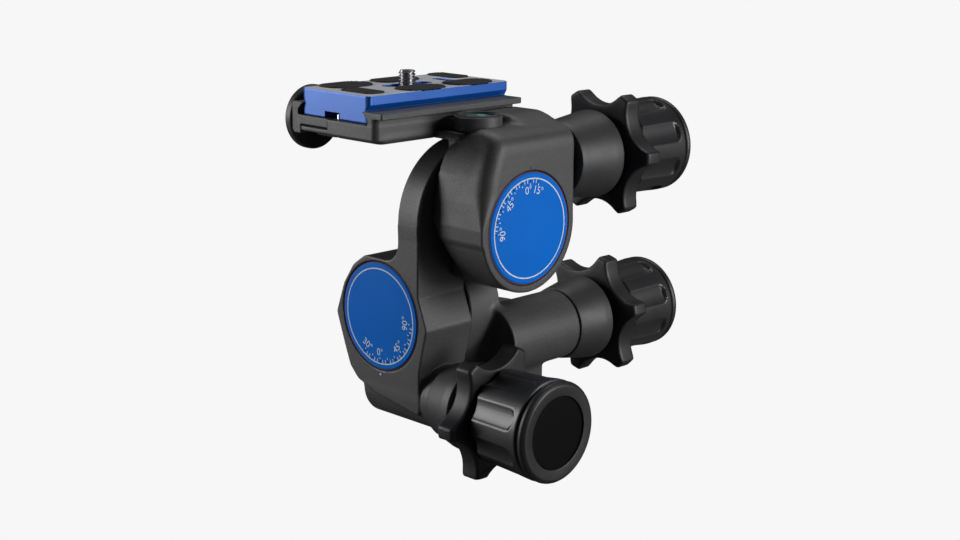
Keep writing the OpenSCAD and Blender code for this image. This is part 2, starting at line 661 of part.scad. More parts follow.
clamp_knob_w = 5;
clamp_knob_x = clamp_x0 - jaw_w - 0.3;
module clamp_screw() color(steel)
  translate([clamp_knob_x - clamp_knob_w + 1, clamp_screw_y, clamp_screw_z]) along_x()
    cylinder(r = clamp_screw_r, h = clamp_x0 + screw_in_body - clamp_knob_x + clamp_knob_w - 1);
module clamp_knob() color(knob_black)
  translate([clamp_knob_x, clamp_screw_y, clamp_screw_z]) rotate([0, -90, 0]) difference() {
    union() {
      cylinder(r = clamp_knob_r, h = clamp_knob_w - 1);
      translate([0, 0, clamp_knob_w - 1 - eps]) cylinder(r1 = clamp_knob_r, r2 = clamp_knob_r - 1, h = 1);
    }
    for (i = [0:knurls - 1]) rotate([0, 0, i * 360 / knurls])
      translate([clamp_knob_r + 0.6, 0, -1]) cylinder(r = 1.1, h = clamp_knob_w + 2);
    translate([0, 0, -1]) cylinder(r = clamp_screw_r + run_gap, h = clamp_knob_w + 0.4);
  }
knurls = 24;

module safety_pin() color(steel) translate([pin_x, pin_y, 0]) {
  translate([0, 0, deck_z + 2.2]) cylinder(r = pin_r, h = floor_z + pin_out - deck_z - 2.2);
  translate([0, 0, deck_z + 3]) cylinder(r = pin_r + 1, h = 0.9);
}

module quick_release_plate() color(alloy) difference() {
  plate_place() linear_extrude(plate_len, center = true) plate_section();
  translate([plate_x - plate_w, plate_y - plate_len, plate_z1]) cube([2 * plate_w, 2 * plate_len, 5]);
  // slot for the camera screw, with a wider run below for its washer and head
  screw_slot(camera_screw_r + 0.3, -1, plate_t + 1);
  screw_slot(washer_r + 0.3, -1, plate_t - slot_roof);
  translate([plate_x - 7, plate_y + 18, plate_z1 - 1.5]) cube([14, 4.5, 3]);
  // notch for the safety pin, open at the plate's end
  translate([pin_x + pin_r + 0.3 - notch_w, plate_y - plate_len / 2 - 1, plate_z0 - 1])
    cube([notch_w, pin_y + pin_r + plate_travel + 0.3 - plate_y + plate_len / 2 + 1, pin_out + 1.3]);
}
module screw_slot(r, z0, z1) translate([plate_x, plate_y, plate_z0 + z0]) {
  for (s = [-1, 1]) translate([0, s * screw_travel, 0]) cylinder(r = r, h = z1 - z0);
  translate([-r, -screw_travel, 0]) cube([2 * r, 2 * screw_travel, z1 - z0]);
}
washer_r = 7;
slot_roof = 2.6;

pad_t = 0.6;
pads = [[-12, -19.5, 15, 20], [-12.5, 5, 12, 20], [-9, 29.5, 18, 9],
  [6, -27, 18, 9], [12.5, -5, 12, 20], [12, 19.5, 13, 20]];
module plate_pads() color(rubber) for (p = pads)
  translate([plate_x + p[0] - p[2] / 2, plate_y + p[1] - p[3] / 2, plate_z1]) cube([p[2], p[3], pad_t]);

washer_z = plate_z1 - slot_roof;
shank_r = 2.6;                          // plain part of the camera screw
thread_z0 = plate_z1 + pad_t + 0.25;
module screw_washer() color(steel)
  translate([plate_x, plate_y, washer_z - 1.2]) ring(washer_r, shank_r + 0.2, 1.1);

module camera_screw() color(steel) translate([plate_x, plate_y, 0]) difference() {
  union() {
    translate([0, 0, washer_z - 3.6]) cylinder(r = shank_r, h = plate_z1 + camera_screw_h - washer_z + 3);
    translate([0, 0, thread_z0]) cylinder(r = camera_screw_r, h = plate_z1 + camera_screw_h - thread_z0);
    translate([0, 0, washer_z - 3.6]) cylinder(r = 6.8, h = 2.3);
  }
  translate([-8, -0.7, washer_z - 4.6]) cube([16, 1.4, 2.2]);
}

base_plate();
thread_insert();
pan_wheel();
pan_housing();
pan_shaft();
pan_nut();
pan_washer();
pan_sleeve();
pan_worm_bushes();
pan_worm();
pan_knob_grip();
pan_knob_cap();
pan_release_ring();
tilt_shaft();
tilt_wheel();
tilt_shaft_screw();
tilt_scale_disc();
arm();
tilt_bushes();
tilt_chamber_cover();
tilt_index_dot();
tilt_sleeve();
tilt_worm_bushes();
tilt_worm();
tilt_knob_grip();
tilt_knob_cap();
tilt_release_ring();
side_shaft();
side_wheel();
side_shaft_screw();
side_scale_disc();
upper_housing();
side_bushes();
side_chamber_cover();
side_index_dot();
side_sleeve();
side_worm_bushes();
side_worm();
side_knob_grip();
side_knob_cap();
side_release_ring();
clamp_body();
clamp_bolts();
level_bezel();
level_vial();
moving_jaw();
clamp_screw();
clamp_knob();
safety_pin();
quick_release_plate();
plate_pads();
screw_washer();
camera_screw();
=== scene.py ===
import json
from math import cos, pi, radians, sin

import bmesh
import bpy
import numpy as np
from mathutils import Matrix, Vector


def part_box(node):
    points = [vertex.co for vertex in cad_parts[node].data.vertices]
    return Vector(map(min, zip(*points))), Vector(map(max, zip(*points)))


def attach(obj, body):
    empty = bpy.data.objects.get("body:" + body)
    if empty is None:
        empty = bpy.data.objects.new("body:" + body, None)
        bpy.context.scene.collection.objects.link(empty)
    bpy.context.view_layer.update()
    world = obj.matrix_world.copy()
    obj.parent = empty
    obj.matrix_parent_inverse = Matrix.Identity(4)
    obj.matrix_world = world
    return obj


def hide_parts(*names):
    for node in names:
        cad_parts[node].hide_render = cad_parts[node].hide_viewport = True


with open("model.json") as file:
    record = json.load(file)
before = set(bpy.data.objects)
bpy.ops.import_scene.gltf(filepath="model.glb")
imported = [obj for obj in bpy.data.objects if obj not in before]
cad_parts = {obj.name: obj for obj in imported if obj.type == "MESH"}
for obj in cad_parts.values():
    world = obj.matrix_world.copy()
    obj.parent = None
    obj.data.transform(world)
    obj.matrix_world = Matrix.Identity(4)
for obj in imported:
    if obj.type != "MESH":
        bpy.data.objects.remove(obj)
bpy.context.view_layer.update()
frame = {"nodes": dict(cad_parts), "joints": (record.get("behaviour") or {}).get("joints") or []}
nodes = frame["nodes"]
joints = {j["name"]: j for j in frame["joints"]}


# ---- The view and the studio -------------------------------------------------
# The head is seen from its front corner, a little above, as in a product shot.
# Two soft boxes light it from its sides and a strip from above. Everything is
# drawn in millimetres and stored in metres.

mm = 0.001
TILT_AXIS = Vector(joints["front_tilt"]["pos_m"]) / mm
SIDE_AXIS = Vector(joints["side_tilt"]["pos_m"]) / mm

view_turn = radians(44.93)
view_rise = radians(13.42)
view_roll = radians(0.25)
view_distance = 599.93
view_shift = (15.41, -22.73)            # from the side tilt axis, across and up
lens_px = 1584.24
frame_px = 960

back = Vector((sin(view_turn) * cos(view_rise), -cos(view_turn) * cos(view_rise), sin(view_rise)))
level_right = (-back).cross(Vector((0, 0, 1))).normalized()
level_up = level_right.cross(-back)
right = cos(view_roll) * level_right + sin(view_roll) * level_up
up = cos(view_roll) * level_up - sin(view_roll) * level_right
look_at = Vector((0, SIDE_AXIS.y, SIDE_AXIS.z))
eye = look_at + view_shift[0] * right + view_shift[1] * up + view_distance * back

camera_data = bpy.data.cameras.new("photo_camera")
camera_data.sensor_width = 36
camera_data.lens = 36 * lens_px / frame_px
camera_data.clip_start = 0.01
camera = bpy.data.objects.new("photo_camera", camera_data)
camera.matrix_world = Matrix.Translation(eye * mm) @ Matrix((right, up, back)).transposed().to_4x4()
bpy.context.scene.collection.objects.link(camera)
bpy.context.scene.camera = camera
bpy.context.scene.view_settings.view_transform = "Standard"


def lamp(name, place, aim, size, power):
    """A soft box at place, facing aim, both in millimetres."""
    data = bpy.data.lights.new(name, "AREA")
    data.shape = "RECTANGLE"
    data.size, data.size_y = size[0] * mm, size[1] * mm
    data.energy = power
    item = bpy.data.objects.new(name, data)
    place, aim = Vector(place) * mm, Vector(aim) * mm
    item.matrix_world = Matrix.Translation(place) @ (place - aim).to_track_quat("Z", "Y").to_matrix().to_4x4()
    bpy.context.scene.collection.objects.link(item)


middle = Vector((15, -10, 70))
lamp("left_box", middle + Vector((-600, -500, 190)), middle, (300, 460), 3.7)
lamp("right_box", middle + Vector((740, 300, 170)), middle, (280, 420), 4.6)
lamp("high_strip", middle + Vector((-240, 260, 760)), middle, (700, 160), 2.2)

world = bpy.data.worlds.new("studio")
bpy.context.scene.world = world
world.use_nodes = True


def backdrop(tree, lit, unlit, output):
    """Pale where the camera looks straight at it; unlit for every other ray."""
    rays = tree.nodes.new("ShaderNodeLightPath")
    blend = tree.nodes.new("ShaderNodeMixShader")
    tree.links.new(rays.outputs["Is Camera Ray"], blend.inputs[0])
    tree.links.new(unlit.outputs[0], blend.inputs[1])
    tree.links.new(lit.outputs[0], blend.inputs[2])
    tree.links.new(blend.outputs[0], output.inputs[0])


sky = world.node_tree
sky.nodes.clear()
plain = sky.nodes.new("ShaderNodeBackground")
plain.inputs["Color"].default_value = (0.93, 0.93, 0.93, 1)
dim = sky.nodes.new("ShaderNodeBackground")
dim.inputs["Color"].default_value = (0.5, 0.5, 0.53, 1)
dim.inputs["Strength"].default_value = 0.05
backdrop(sky, plain, dim, sky.nodes.new("ShaderNodeOutputWorld"))

floor_paint = bpy.data.materials.new("floor")
floor_paint.use_nodes = True
ground = floor_paint.node_tree
glow = ground.nodes.new("ShaderNodeEmission")
glow.inputs["Color"].default_value = (0.93, 0.93, 0.93, 1)
ground.nodes["Principled BSDF"].inputs["Base Color"].default_value = (0.12, 0.12, 0.12, 1)
backdrop(ground, glow, ground.nodes["Principled BSDF"], ground.nodes["Material Output"])
floor_mesh = bpy.data.meshes.new("floor")
half_floor, floor_z_m = 2, -0.0006
floor_mesh.from_pydata([(half_floor * a, half_floor * b, floor_z_m) for a, b in ((-1, -1), (1, -1), (1, 1), (-1, 1))],
                       [], [(0, 1, 2, 3)])
floor_mesh.materials.append(floor_paint)
floor = bpy.data.objects.new("floor", floor_mesh)
bpy.context.scene.collection.objects.link(floor)


# ---- Base --------------------------------------------------------------------
# A round aluminium foot with a stepped rim, turned on a lathe and powder coated.
# Its hub and neck run up inside the pan housing and carry the pan wheel.

class Wire:
    """A value travelling through a material's nodes, with ordinary arithmetic."""

    def __init__(self, paint, socket):
        self.paint = paint
        self.socket = socket

    def _math(self, operation, *values):
        return self.paint.node("Math", {"operation": operation}, *values)

    def __add__(self, other): return self._math("ADD", self, other)
    def __radd__(self, other): return self._math("ADD", other, self)
    def __sub__(self, other): return self._math("SUBTRACT", self, other)
    def __rsub__(self, other): return self._math("SUBTRACT", other, self)
    def __mul__(self, other): return self._math("MULTIPLY", self, other)
    def __rmul__(self, other): return self._math("MULTIPLY", other, self)
    def __abs__(self): return self._math("ABSOLUTE", self)
    def sine(self): return self._math("SINE", self)
    def root(self): return self._math("SQRT", self)


class Paint:
    """A material with a Principled shader, whose nodes are written as expressions."""

    def __init__(self, name, **settings):
        self.material = bpy.data.materials.new(name)
        self.material.use_nodes = True
        self.tree = self.material.node_tree
        self.shader = self.tree.nodes["Principled BSDF"]
        for socket, value in settings.items():
            self.shader.inputs[socket.replace("_", " ")].default_value = value

    def node(self, kind, settings, *values, out=0, **named):
        item = self.tree.nodes.new("ShaderNode" + kind)
        for key, value in settings.items():
            setattr(item, key, value)
        sockets = [s for s in item.inputs if s.enabled]
        fed = list(zip(sockets, values)) + [(item.inputs[k.replace("_", " ")], v) for k, v in named.items()]
        for socket, value in fed:
            if isinstance(value, Wire):
                self.tree.links.new(value.socket, socket)
            elif value is not None:
                socket.default_value = value
        outputs = [s for s in item.outputs if s.enabled]
        return Wire(self, item.outputs[out] if isinstance(out, str) else outputs[out])

    def place(self):
        """Object coordinates in millimetres, as a vector."""
        here = self.node("TexCoord", {}, out="Object")
        return self.node("VectorMath", {"operation": "SCALE"}, here, Scale=1000.0)

    def split(self, vector):
        return [self.node("SeparateXYZ", {}, vector, out=axis) for axis in "XYZ"]

    def noise(self, where, scale, detail=2.0, rough=0.5):
        return self.node("TexNoise", {"noise_dimensions": "3D"}, Vector=where, Scale=scale, Detail=detail,
                         Roughness=rough)

    def mix(self, amount, low, high):
        item = self.tree.nodes.new("ShaderNodeMix")
        item.data_type = "RGBA"
        for socket, value in ((item.inputs[0], amount), (item.inputs[6], low), (item.inputs[7], high)):
            if isinstance(value, Wire):
                self.tree.links.new(value.socket, socket)
            else:
                socket.default_value = (*value, 1) if isinstance(value, tuple) and len(value) == 3 else value
        return Wire(self, item.outputs[2])

    def step(self, value, low, high):
        """0 below low, 1 above high, and a straight ramp between."""
        return self.node("MapRange", {"clamp": True}, value, low, high, 0.0, 1.0)

    def set(self, socket, value):
        self.tree.links.new(value.socket, self.shader.inputs[socket])

    def bump(self, height, depth, after=None):
        """height 0 to 1, depth in millimetres."""
        return self.node("Bump", {}, Strength=1.0, Distance=depth * mm, Height=height, Normal=after)


def colour(red, green, blue):
    """A colour written as on screen, 0 to 255, for a shader."""
    return tuple((c / 255 / 12.92) if c < 11 else ((c / 255 + 0.055) / 1.055) ** 2.4 for c in (red, green, blue))


def powder_coat(name, dark, light, grain=0.03):
    """Fine textured powder coat: rounded specks a third of a millimetre across."""
    paint = Paint(name, IOR=1.5)
    where = paint.place()
    speck = paint.noise(where, 2.6, 3.0, 0.65)
    cloud = paint.noise(where, 0.12, 2.0)
    fine = paint.step(speck, 0.36, 0.68)
    paint.set("Base Color", paint.mix(fine * 0.75 + cloud * 0.25, dark, light))
    paint.set("Roughness", 0.44 + 0.16 * cloud - 0.10 * fine)
    paint.set("Normal", paint.bump(speck, grain * 2.2))
    return paint.material


casting_coat = powder_coat("casting_powder_coat", colour(58, 58, 59), colour(90, 90, 91))


def soften(corners, radius=0.6, closed=True, steps=5):
    """A line through corners with each turn rounded; a corner may carry its own radius."""
    out = []
    count = len(corners)
    for i, corner in enumerate(corners):
        here = np.array(corner[:2], float)
        r = corner[2] if len(corner) > 2 else radius
        if r <= 0 or (not closed and i in (0, count - 1)):
            out.append(tuple(here))
            continue
        before = np.array(corners[i - 1][:2], float) - here
        after = np.array(corners[(i + 1) % count][:2], float) - here
        long_b, long_a = np.hypot(*before), np.hypot(*after)
        before, after = before / long_b, after / long_a
        half = np.arccos(np.clip(before @ after, -1, 1)) / 2
        if half > pi / 2 - 0.02:
            out.append(tuple(here))
            continue
        reach = min(r / np.tan(half), 0.49 * long_b, 0.49 * long_a)
        r = reach * np.tan(half)
        centre = here + (before + after) / np.hypot(*(before + after)) * r / sin(half)
        start, end = here + before * reach - centre, here + after * reach - centre
        turn = np.arctan2(start[0] * end[1] - start[1] * end[0], start @ end)
        for k in range(steps + 1):
            a = turn * k / steps
            out.append((centre[0] + start[0] * cos(a) - start[1] * sin(a),
                        centre[1] + start[0] * sin(a) + start[1] * cos(a)))
    return out


def piece(name, points, faces, material, body, *replaced, slot=None, normals=None, smooth=35):
    """A mesh from millimetre points, riding on a body and standing for CAD nodes."""
    mesh = bpy.data.meshes.new(name)
    mesh.from_pydata([tuple(p) for p in np.asarray(points, float) * mm], [], [tuple(f) for f in faces])
    mesh.materials.append(material)
    mesh.update()
    if normals is not None:
        mesh.normals_split_custom_set_from_vertices([tuple(n) for n in normals])
    else:
        mesh.shade_smooth()
        mesh.set_sharp_from_angle(angle=radians(smooth))
    item = bpy.data.objects.new(name, mesh)
    bpy.context.scene.collection.objects.link(item)
    if replaced:
        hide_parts(*replaced)
    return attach(item, body)


class Axis:
    """A line through a point, with two directions square to it."""

    def __init__(self, origin, across, along):
        self.origin = np.array(origin, float)
        self.along = np.array(along, float)
        self.across = np.array(across, float)
        self.over = np.cross(self.along, self.across)

    def at(self, a, b, u):
        """World places of local places: across, over and along."""
        a, b, u = np.broadcast_arrays(a, b, u)
        return (self.origin + a[..., None] * self.across + b[..., None] * self.over + u[..., None] * self.along)


def turned(axis, profile, sides=96, radius=None):
    """Points and faces of a body of revolution. profile runs along the axis and out: (u, r).
    A closed profile makes a ring; one that starts and ends on the axis makes a solid."""
    solid = profile[0][1] < 1e-6
    line = profile[1:-1] if solid else profile
    angle = np.arange(sides) * 2 * pi / sides
    u = np.array([p[0] for p in line])[:, None]
    r = np.array([p[1] for p in line])[:, None] * np.ones_like(angle)
    if radius is not None:
        r = radius(u, r, angle)
    points = list(axis.at(r * np.cos(angle), r * np.sin(angle), u + 0 * r).reshape(-1, 3))
    rows = len(line)
    faces = []
    for i in range(rows - 1 if solid else rows):
        j = (i + 1) % rows
        for k in range(sides):
            n = (k + 1) % sides
            faces.append((i * sides + k, i * sides + n, j * sides + n, j * sides + k))
    if solid:
        for end, row, way in ((profile[0], 0, -1), (profile[-1], rows - 1, 1)):
            points.append(axis.at(0.0, 0.0, end[0]).reshape(3))
            hub = len(points) - 1
            for k in range(sides):
                a, b = row * sides + k, row * sides + (k + 1) % sides
                faces.append((hub, b, a) if way < 0 else (hub, a, b))
    return points, faces


def outward(points, faces):
    """The same faces, turned so that the solid's volume is positive."""
    p = np.asarray(points, float)
    volume = sum(np.dot(p[f[0]], np.cross(p[f[i]], p[f[i + 1]])) for f in faces for i in range(1, len(f) - 1))
    return faces if volume > 0 else [tuple(reversed(f)) for f in faces]


def lathe(name, axis, profile, material, body, *replaced, sides=96, radius=None, slot=None, smooth=35):
    points, faces = turned(axis, profile, sides, radius)
    return piece(name, points, outward(points, faces), material, body, *replaced, slot=slot, smooth=smooth)


skirt_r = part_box("base_plate")[1].x / mm
foot_r = 25.4
foot_h, skirt_top = 4.5, 6.3
pan_line = Axis((0, 0, 0), (1, 0, 0), (0, 0, 1))
lathe("base", pan_line, soften([
    (0, 9, 0.4), (0, foot_r, 0.9), (foot_h, foot_r, 0.3), (foot_h, skirt_r, 0.3), (skirt_top, skirt_r, 0.5),
    (skirt_top, 19.6, 0.3), (24, 19.6, 0.5), (24, 9, 0.3), (41, 9, 0.3), (41, 6.05, 0.2), (18.3, 6.05, 0.2),
    (18.3, 9, 0.2)]), casting_coat, "base", "base_plate", slot="powder_coat")


# ---- Pan housing -------------------------------------------------------------
# One casting: the drum that turns on the base, a sideways tube for the pan worm,
# and the round boss that the arm tilts on.

def disc(u, v, cu, cv, r):
    return np.hypot(u - cu, v - cv) - r


def outline(u, v, corners):
    """Signed distance to a closed polygon, negative inside."""
    u, v = np.broadcast_arrays(u, v)
    near = np.full(u.shape, 1e9)
    side = np.ones(u.shape)
    for (ax, ay), (bx, by) in zip(corners, corners[1:] + corners[:1]):
        ex, ey = bx - ax, by - ay
        wx, wy = u - ax, v - ay
        t = np.clip((wx * ex + wy * ey) / (ex * ex + ey * ey + 1e-12), 0, 1)
        near = np.minimum(near, (wx - t * ex) ** 2 + (wy - t * ey) ** 2)
        one, two, three = v >= ay, v < by, ex * wy > ey * wx
        side = np.where((one & two & three) | (~one & ~two & ~three), -side, side)
    return side * np.sqrt(near)


def bar(flat, w, low, high, edge=0.5):
    """A flat shape carried from low to high, with rounded rims."""
    a = flat + edge
    b = np.abs(w - (low + high) / 2) - (high - low) / 2 + edge
    return np.minimum(np.maximum(a, b), 0) + np.hypot(np.maximum(a, 0), np.maximum(b, 0)) - edge


def join(a, b, fillet=0.0):
    fillet = np.maximum(fillet, 1e-6)
    near = np.maximum(fillet - np.abs(a - b), 0) / fillet
    return np.minimum(a, b) - near * near * fillet / 4


def cut(a, b, edge=0.5):
    return -join(-a, b, edge)


def common(a, b, edge=0.5):
    return -join(-a, -b, edge)


CELL_CORNERS = [(i, j, k) for i in (0, 1) for j in (0, 1) for k in (0, 1)]


def cast(name, shape, low, high, step, material, body, *replaced, slot=None):
    """The skin where shape(x, y, z) is zero, as a closed mesh of near-square faces."""
    ticks = [np.arange(a - 2.5 * step, b + 2.5 * step, step) for a, b in zip(low, high)]
    x, y, z = np.meshgrid(*ticks, indexing="ij", sparse=True)
    field = np.asarray(shape(x, y, z) + 0 * (x + y + z))
    solid = field < 0
    nx, ny, nz = field.shape
    inside = sum(solid[i:nx - 1 + i, j:ny - 1 + j, k:nz - 1 + k].astype(np.int8) for i, j, k in CELL_CORNERS)
    active = (inside > 0) & (inside < 8)
    cells = np.argwhere(active)
    number = np.full(active.shape, -1)
    number[active] = np.arange(len(cells))
    total = np.zeros((len(cells), 3))
    hits = np.zeros(len(cells))
    value = {c: field[tuple((cells + c).T)] for c in CELL_CORNERS}
    for one in CELL_CORNERS:
        for axis in range(3):
            if one[axis]:
                continue
            two = tuple(1 if a == axis else one[a] for a in range(3))
            crossing = (value[one] < 0) != (value[two] < 0)
            t = value[one][crossing] / (value[one][crossing] - value[two][crossing])
            spot = np.array(one, float) + np.outer(t, np.eye(3)[axis])
            total[crossing] += spot
            hits[crossing] += 1
    points = np.array([t[0] for t in ticks]) + (cells + total / hits[:, None]) * step

    def slope(p):
        h = 0.04
        return np.stack([(shape(*(p + h * e).T) - shape(*(p - h * e).T)) / (2 * h) for e in np.eye(3)], 1)

    for _ in range(3):
        way = slope(points)
        move = (shape(*points.T) / np.maximum((way * way).sum(1), 0.2))[:, None] * way
        size = np.sqrt((move * move).sum(1))[:, None]
        points = points - move * np.minimum(1, 0.4 * step / np.maximum(size, 1e-9))
    way = slope(points)
    normals = way / np.maximum(np.sqrt((way * way).sum(1)), 1e-6)[:, None]
    faces = []
    for axis in range(3):
        first = np.take(solid, range(solid.shape[axis] - 1), axis)
        second = np.take(solid, range(1, solid.shape[axis]), axis)
        edges = np.argwhere(first != second)
        p, q = (axis + 1) % 3, (axis + 2) % 3
        far_p, far_q = field.shape[p] - 1, field.shape[q] - 1
        keep = (edges[:, p] > 0) & (edges[:, q] > 0) & (edges[:, p] < far_p) & (edges[:, q] < far_q)
        edges = edges[keep]
        turn = first[tuple(edges.T)]
        loop = []
        for dp, dq in ((-1, -1), (0, -1), (0, 0), (-1, 0)):
            corner = edges.copy()
            corner[:, p] += dp
            corner[:, q] += dq
            loop.append(number[tuple(corner.T)])
        loop = np.stack(loop, 1)
        loop[~turn] = loop[~turn][:, ::-1]
        faces.append(loop)
    return piece(name, points, np.concatenate(faces).tolist(), material, body, *replaced, slot=slot, normals=normals)


PAN_WORM = Vector(joints["pan_knob_turn"]["pos_m"]) / mm
TILT_WORM = Vector(joints["tilt_knob_turn"]["pos_m"]) / mm
SIDE_WORM = Vector(joints["side_knob_turn"]["pos_m"]) / mm
drum_r, drum_top_r = 25.5, 21.5
boss_r, boss_front, boss_back = 23.5, -27.2, -11.5
tube_r, tube_end = 13.5, 22.0


def pan_housing(x, y, z):
    drum = bar(disc(x, y, 0, 0, drum_r), z, 7, 35, 1.4)
    crown = bar(disc(x, y, 0, 0, drum_top_r), z, 30, 43.8, 2.2)
    boss = bar(disc(x, z, TILT_AXIS.x, TILT_AXIS.z, boss_r), y, boss_front, boss_back, 1.0)
    tube = bar(disc(x, z, PAN_WORM.x, PAN_WORM.z, tube_r), y, -15, tube_end, 0.8)
    body = join(join(join(drum, crown, 3), tube, 4), boss, 3)
    body = cut(body, bar(disc(x, y, 0, 0, 19.65), z, 0, 24.4, 0), 0.4)
    body = cut(body, bar(disc(x, y, 0, 0, 14.6), z, 10, 41.5, 0), 0.4)
    body = cut(body, bar(disc(x, z, PAN_WORM.x, PAN_WORM.z, 9.4), y, -8, 40, 0), 0.4)
    return cut(body, bar(disc(x, z, PAN_WORM.x, PAN_WORM.z, 17.2), y, tube_end, 60, 0), 0.4)


cast("pan_housing_casting", pan_housing, (-26, -28, 6), (35, 26, 74), 0.62, casting_coat, "pan_body",
     "pan_housing", slot="powder_coat")


# ---- Arm ---------------------------------------------------------------------
# The offset casting: a flat-fronted boss with the lower dial, a tube along the
# tilt worm, and an upright ending in the round flange of the side tilt axis.

arm_face, arm_back = -51.5, -28.0
riser_left, riser_right = 9.8, 20.8
flange_r = 30.3
boss_shape = soften([
    (-25, -2.5, 3), (-20.5, 9.5, 6), (-15, 17.5, 5), (-8.5, 22, 5), (riser_left, 22, 11), (riser_left, 36, 0),
    (riser_right, 36, 0), (riser_right, 10.5, 1), (25.2, -1, 3), (21, -18, 3), (21, -34, 1), (-2, -30.3, 8),
    (-13, -27, 5), (-17.5, -22.5, 4), (-20.5, -15, 3)])
boss_shape = [(u + TILT_AXIS.x, v + TILT_AXIS.z) for u, v in boss_shape]


def arm(x, y, z):
    front = y - 0.25 * np.clip((z - 64) / 22, 0, 1)
    boss = bar(outline(x, z, boss_shape), front, arm_face, arm_back, 0.6)
    sweep = np.maximum(np.maximum(arm_face + 0.25 - y, y - arm_back), np.maximum(z - SIDE_AXIS.z, 66 - z))
    flange = bar(join(disc(y, z, SIDE_AXIS.y, SIDE_AXIS.z, flange_r), sweep, 0.8), x, riser_left, riser_right, 0.7)
    tube = bar(disc(y, z, TILT_WORM.y, TILT_WORM.z, 12.2), x, -10, 26.5, 0.8)
    tip = bar(disc(y, z, TILT_WORM.y, TILT_WORM.z, 9), x, -14, -8, 0.8)
    body = join(join(np.minimum(boss, flange), tube, 0.8), tip, 0.8)
    body = cut(body, bar(disc(x, z, TILT_AXIS.x, TILT_AXIS.z, boss_r + 0.8), y, arm_back, 60, 0), 0.4)
    low = np.maximum(z - 67, arm_back - y)
    body = cut(body, np.maximum(low, np.abs(x - 15.3) - 8), 0.6)
    body = cut(body, bar(disc(x, z, TILT_AXIS.x, TILT_AXIS.z, 20.8), y, arm_face - 5, arm_face + 3.8, 0), 0.4)
    body = cut(body, bar(disc(x, z, TILT_AXIS.x, TILT_AXIS.z, 21.3), y, -43, -20, 0), 0.4)
    body = cut(body, bar(disc(x, z, TILT_AXIS.x, TILT_AXIS.z, 10), y, arm_face, -20, 0), 0.3)
    return cut(body, bar(disc(y, z, TILT_WORM.y, TILT_WORM.z, 9.4), x, -8, 40, 0), 0.4)


cast("arm_casting", arm, (-26, -52, 8), (27, 10, 117), 0.62, casting_coat, "arm_body", "arm", slot="powder_coat")


# ---- Upper housing -----------------------------------------------------------
# The casting that swings sideways: a round-topped tunnel for its worm, flat end
# panels, the upper dial in its front face and the neck that carries the clamp.

head_left, head_right = 21.6, 47.0
head_middle, head_half = (head_left + head_right) / 2, (head_right - head_left) / 2
crown_r, crown_h = 15.0, 21.0
head_shape = soften([
    (-24, -5, 3), (-24.2, 2, 6), (-23, 11, 10), (-21.4, 20, 10), (-17.6, 31, 10), (-15.5, 50, 0), (23.5, 50, 0),
    (23.5, -4, 4), (0, -10, 0)])
head_shape = [(u + SIDE_AXIS.y, v + SIDE_AXIS.z) for u, v in head_shape]
deck_z, floor_z = 117.0, 123.9
LEVEL = (27.3, -27.6, 8.7, 126.0)


def block(u, v, u0, u1, v0, v1, corner):
    """Signed distance to a rectangle with rounded corners."""
    a = np.abs(u - (u0 + u1) / 2) - (u1 - u0) / 2 + corner
    b = np.abs(v - (v0 + v1) / 2) - (v1 - v0) / 2 + corner
    return np.hypot(np.maximum(a, 0), np.maximum(b, 0)) + np.minimum(np.maximum(a, b), 0) - corner


def upper_housing(x, y, z):
    h = z - SIDE_AXIS.z
    ahead = SIDE_AXIS.y - y
    side = join(disc(y, z, SIDE_AXIS.y, SIDE_AXIS.z, 23.6), outline(y, z, head_shape), 0.5)
    walls = np.abs(x - head_middle) - head_half
    roof = np.minimum(disc(x, h, SIDE_WORM.x, crown_h, crown_r), h - crown_h + 0 * x)
    tunnel = common(roof, walls, 2.5)
    dark = np.clip((h - 2) / 12, 0, 1) * np.clip(ahead / 6, 0, 1) * np.clip((x - 22) / 6, 0, 1)
    body = common(tunnel, side, 0.8 + 5.2 * dark)
    notch = np.maximum(np.maximum(x - 28.7 + np.clip((h + 11.6) * 0.45, 0, 7.2), h - 1.5), (y - SIDE_AXIS.y) + 14)
    body = cut(body, notch, 0.8)
    plate = bar(block(x, y, 6, 30, -38, 2, 3), z, deck_z, deck_z + 3, 0.4)
    web = bar(block(x, y, head_left, 27.6, -38, 2, 2), h, 20, 33.5, 0.4)
    fall = 0.035 * np.maximum(x - 29, 0) ** 2
    hump = bar(block(x, y, 16.3, 38.5, -17.9, 2, 4), z + fall, 118, 125.3, 2.4)
    body = join(join(np.minimum(body, plate), web, 0.5), hump, 3)
    body = cut(body, bar(disc(x, y, LEVEL[0], LEVEL[1], LEVEL[2] + 0.1), z, deck_z + 3, 140, 0), 0.3)
    body = cut(body, bar(disc(x, h, SIDE_WORM.x, 21, 9.4), y, SIDE_AXIS.y - 8, 60, 0), 0.4)
    body = cut(body, bar(disc(y, h, SIDE_AXIS.y, 0, 14.6), x, 10, 41, 0), 0.4)
    return cut(body, bar(disc(y, h, SIDE_AXIS.y, 0, 20.8), x, 43.2, 60, 0), 0.4)


cast("upper_housing_casting", upper_housing, (5, -46, 61), (48, 4, 126), 0.58, casting_coat, "head",
     "upper_housing", slot="powder_coat")


# ---- Sleeves -----------------------------------------------------------------
# Each worm runs out through a fixed sleeve that flares towards its knob. Satin
# black aluminium, with a narrow neck on which the release ring turns.

DRIVES = {
    "pan": (Axis(PAN_WORM, (1, 0, 0), (0, 1, 0)), "pan_body", 22.0),
    "tilt": (Axis(TILT_WORM, (0, 0, -1), (1, 0, 0)), "arm_body", 26.5),
    "side": (Axis(SIDE_WORM, (0, 0, 1), (0, 1, 0)), "head", 24.5),
}
KNOB_LEN, RING_GAP, RING_W = 27.0, 0.6, 8.0
sleeve_coat = powder_coat("sleeve_satin", colour(44, 44, 45), colour(66, 66, 67), grain=0.015)


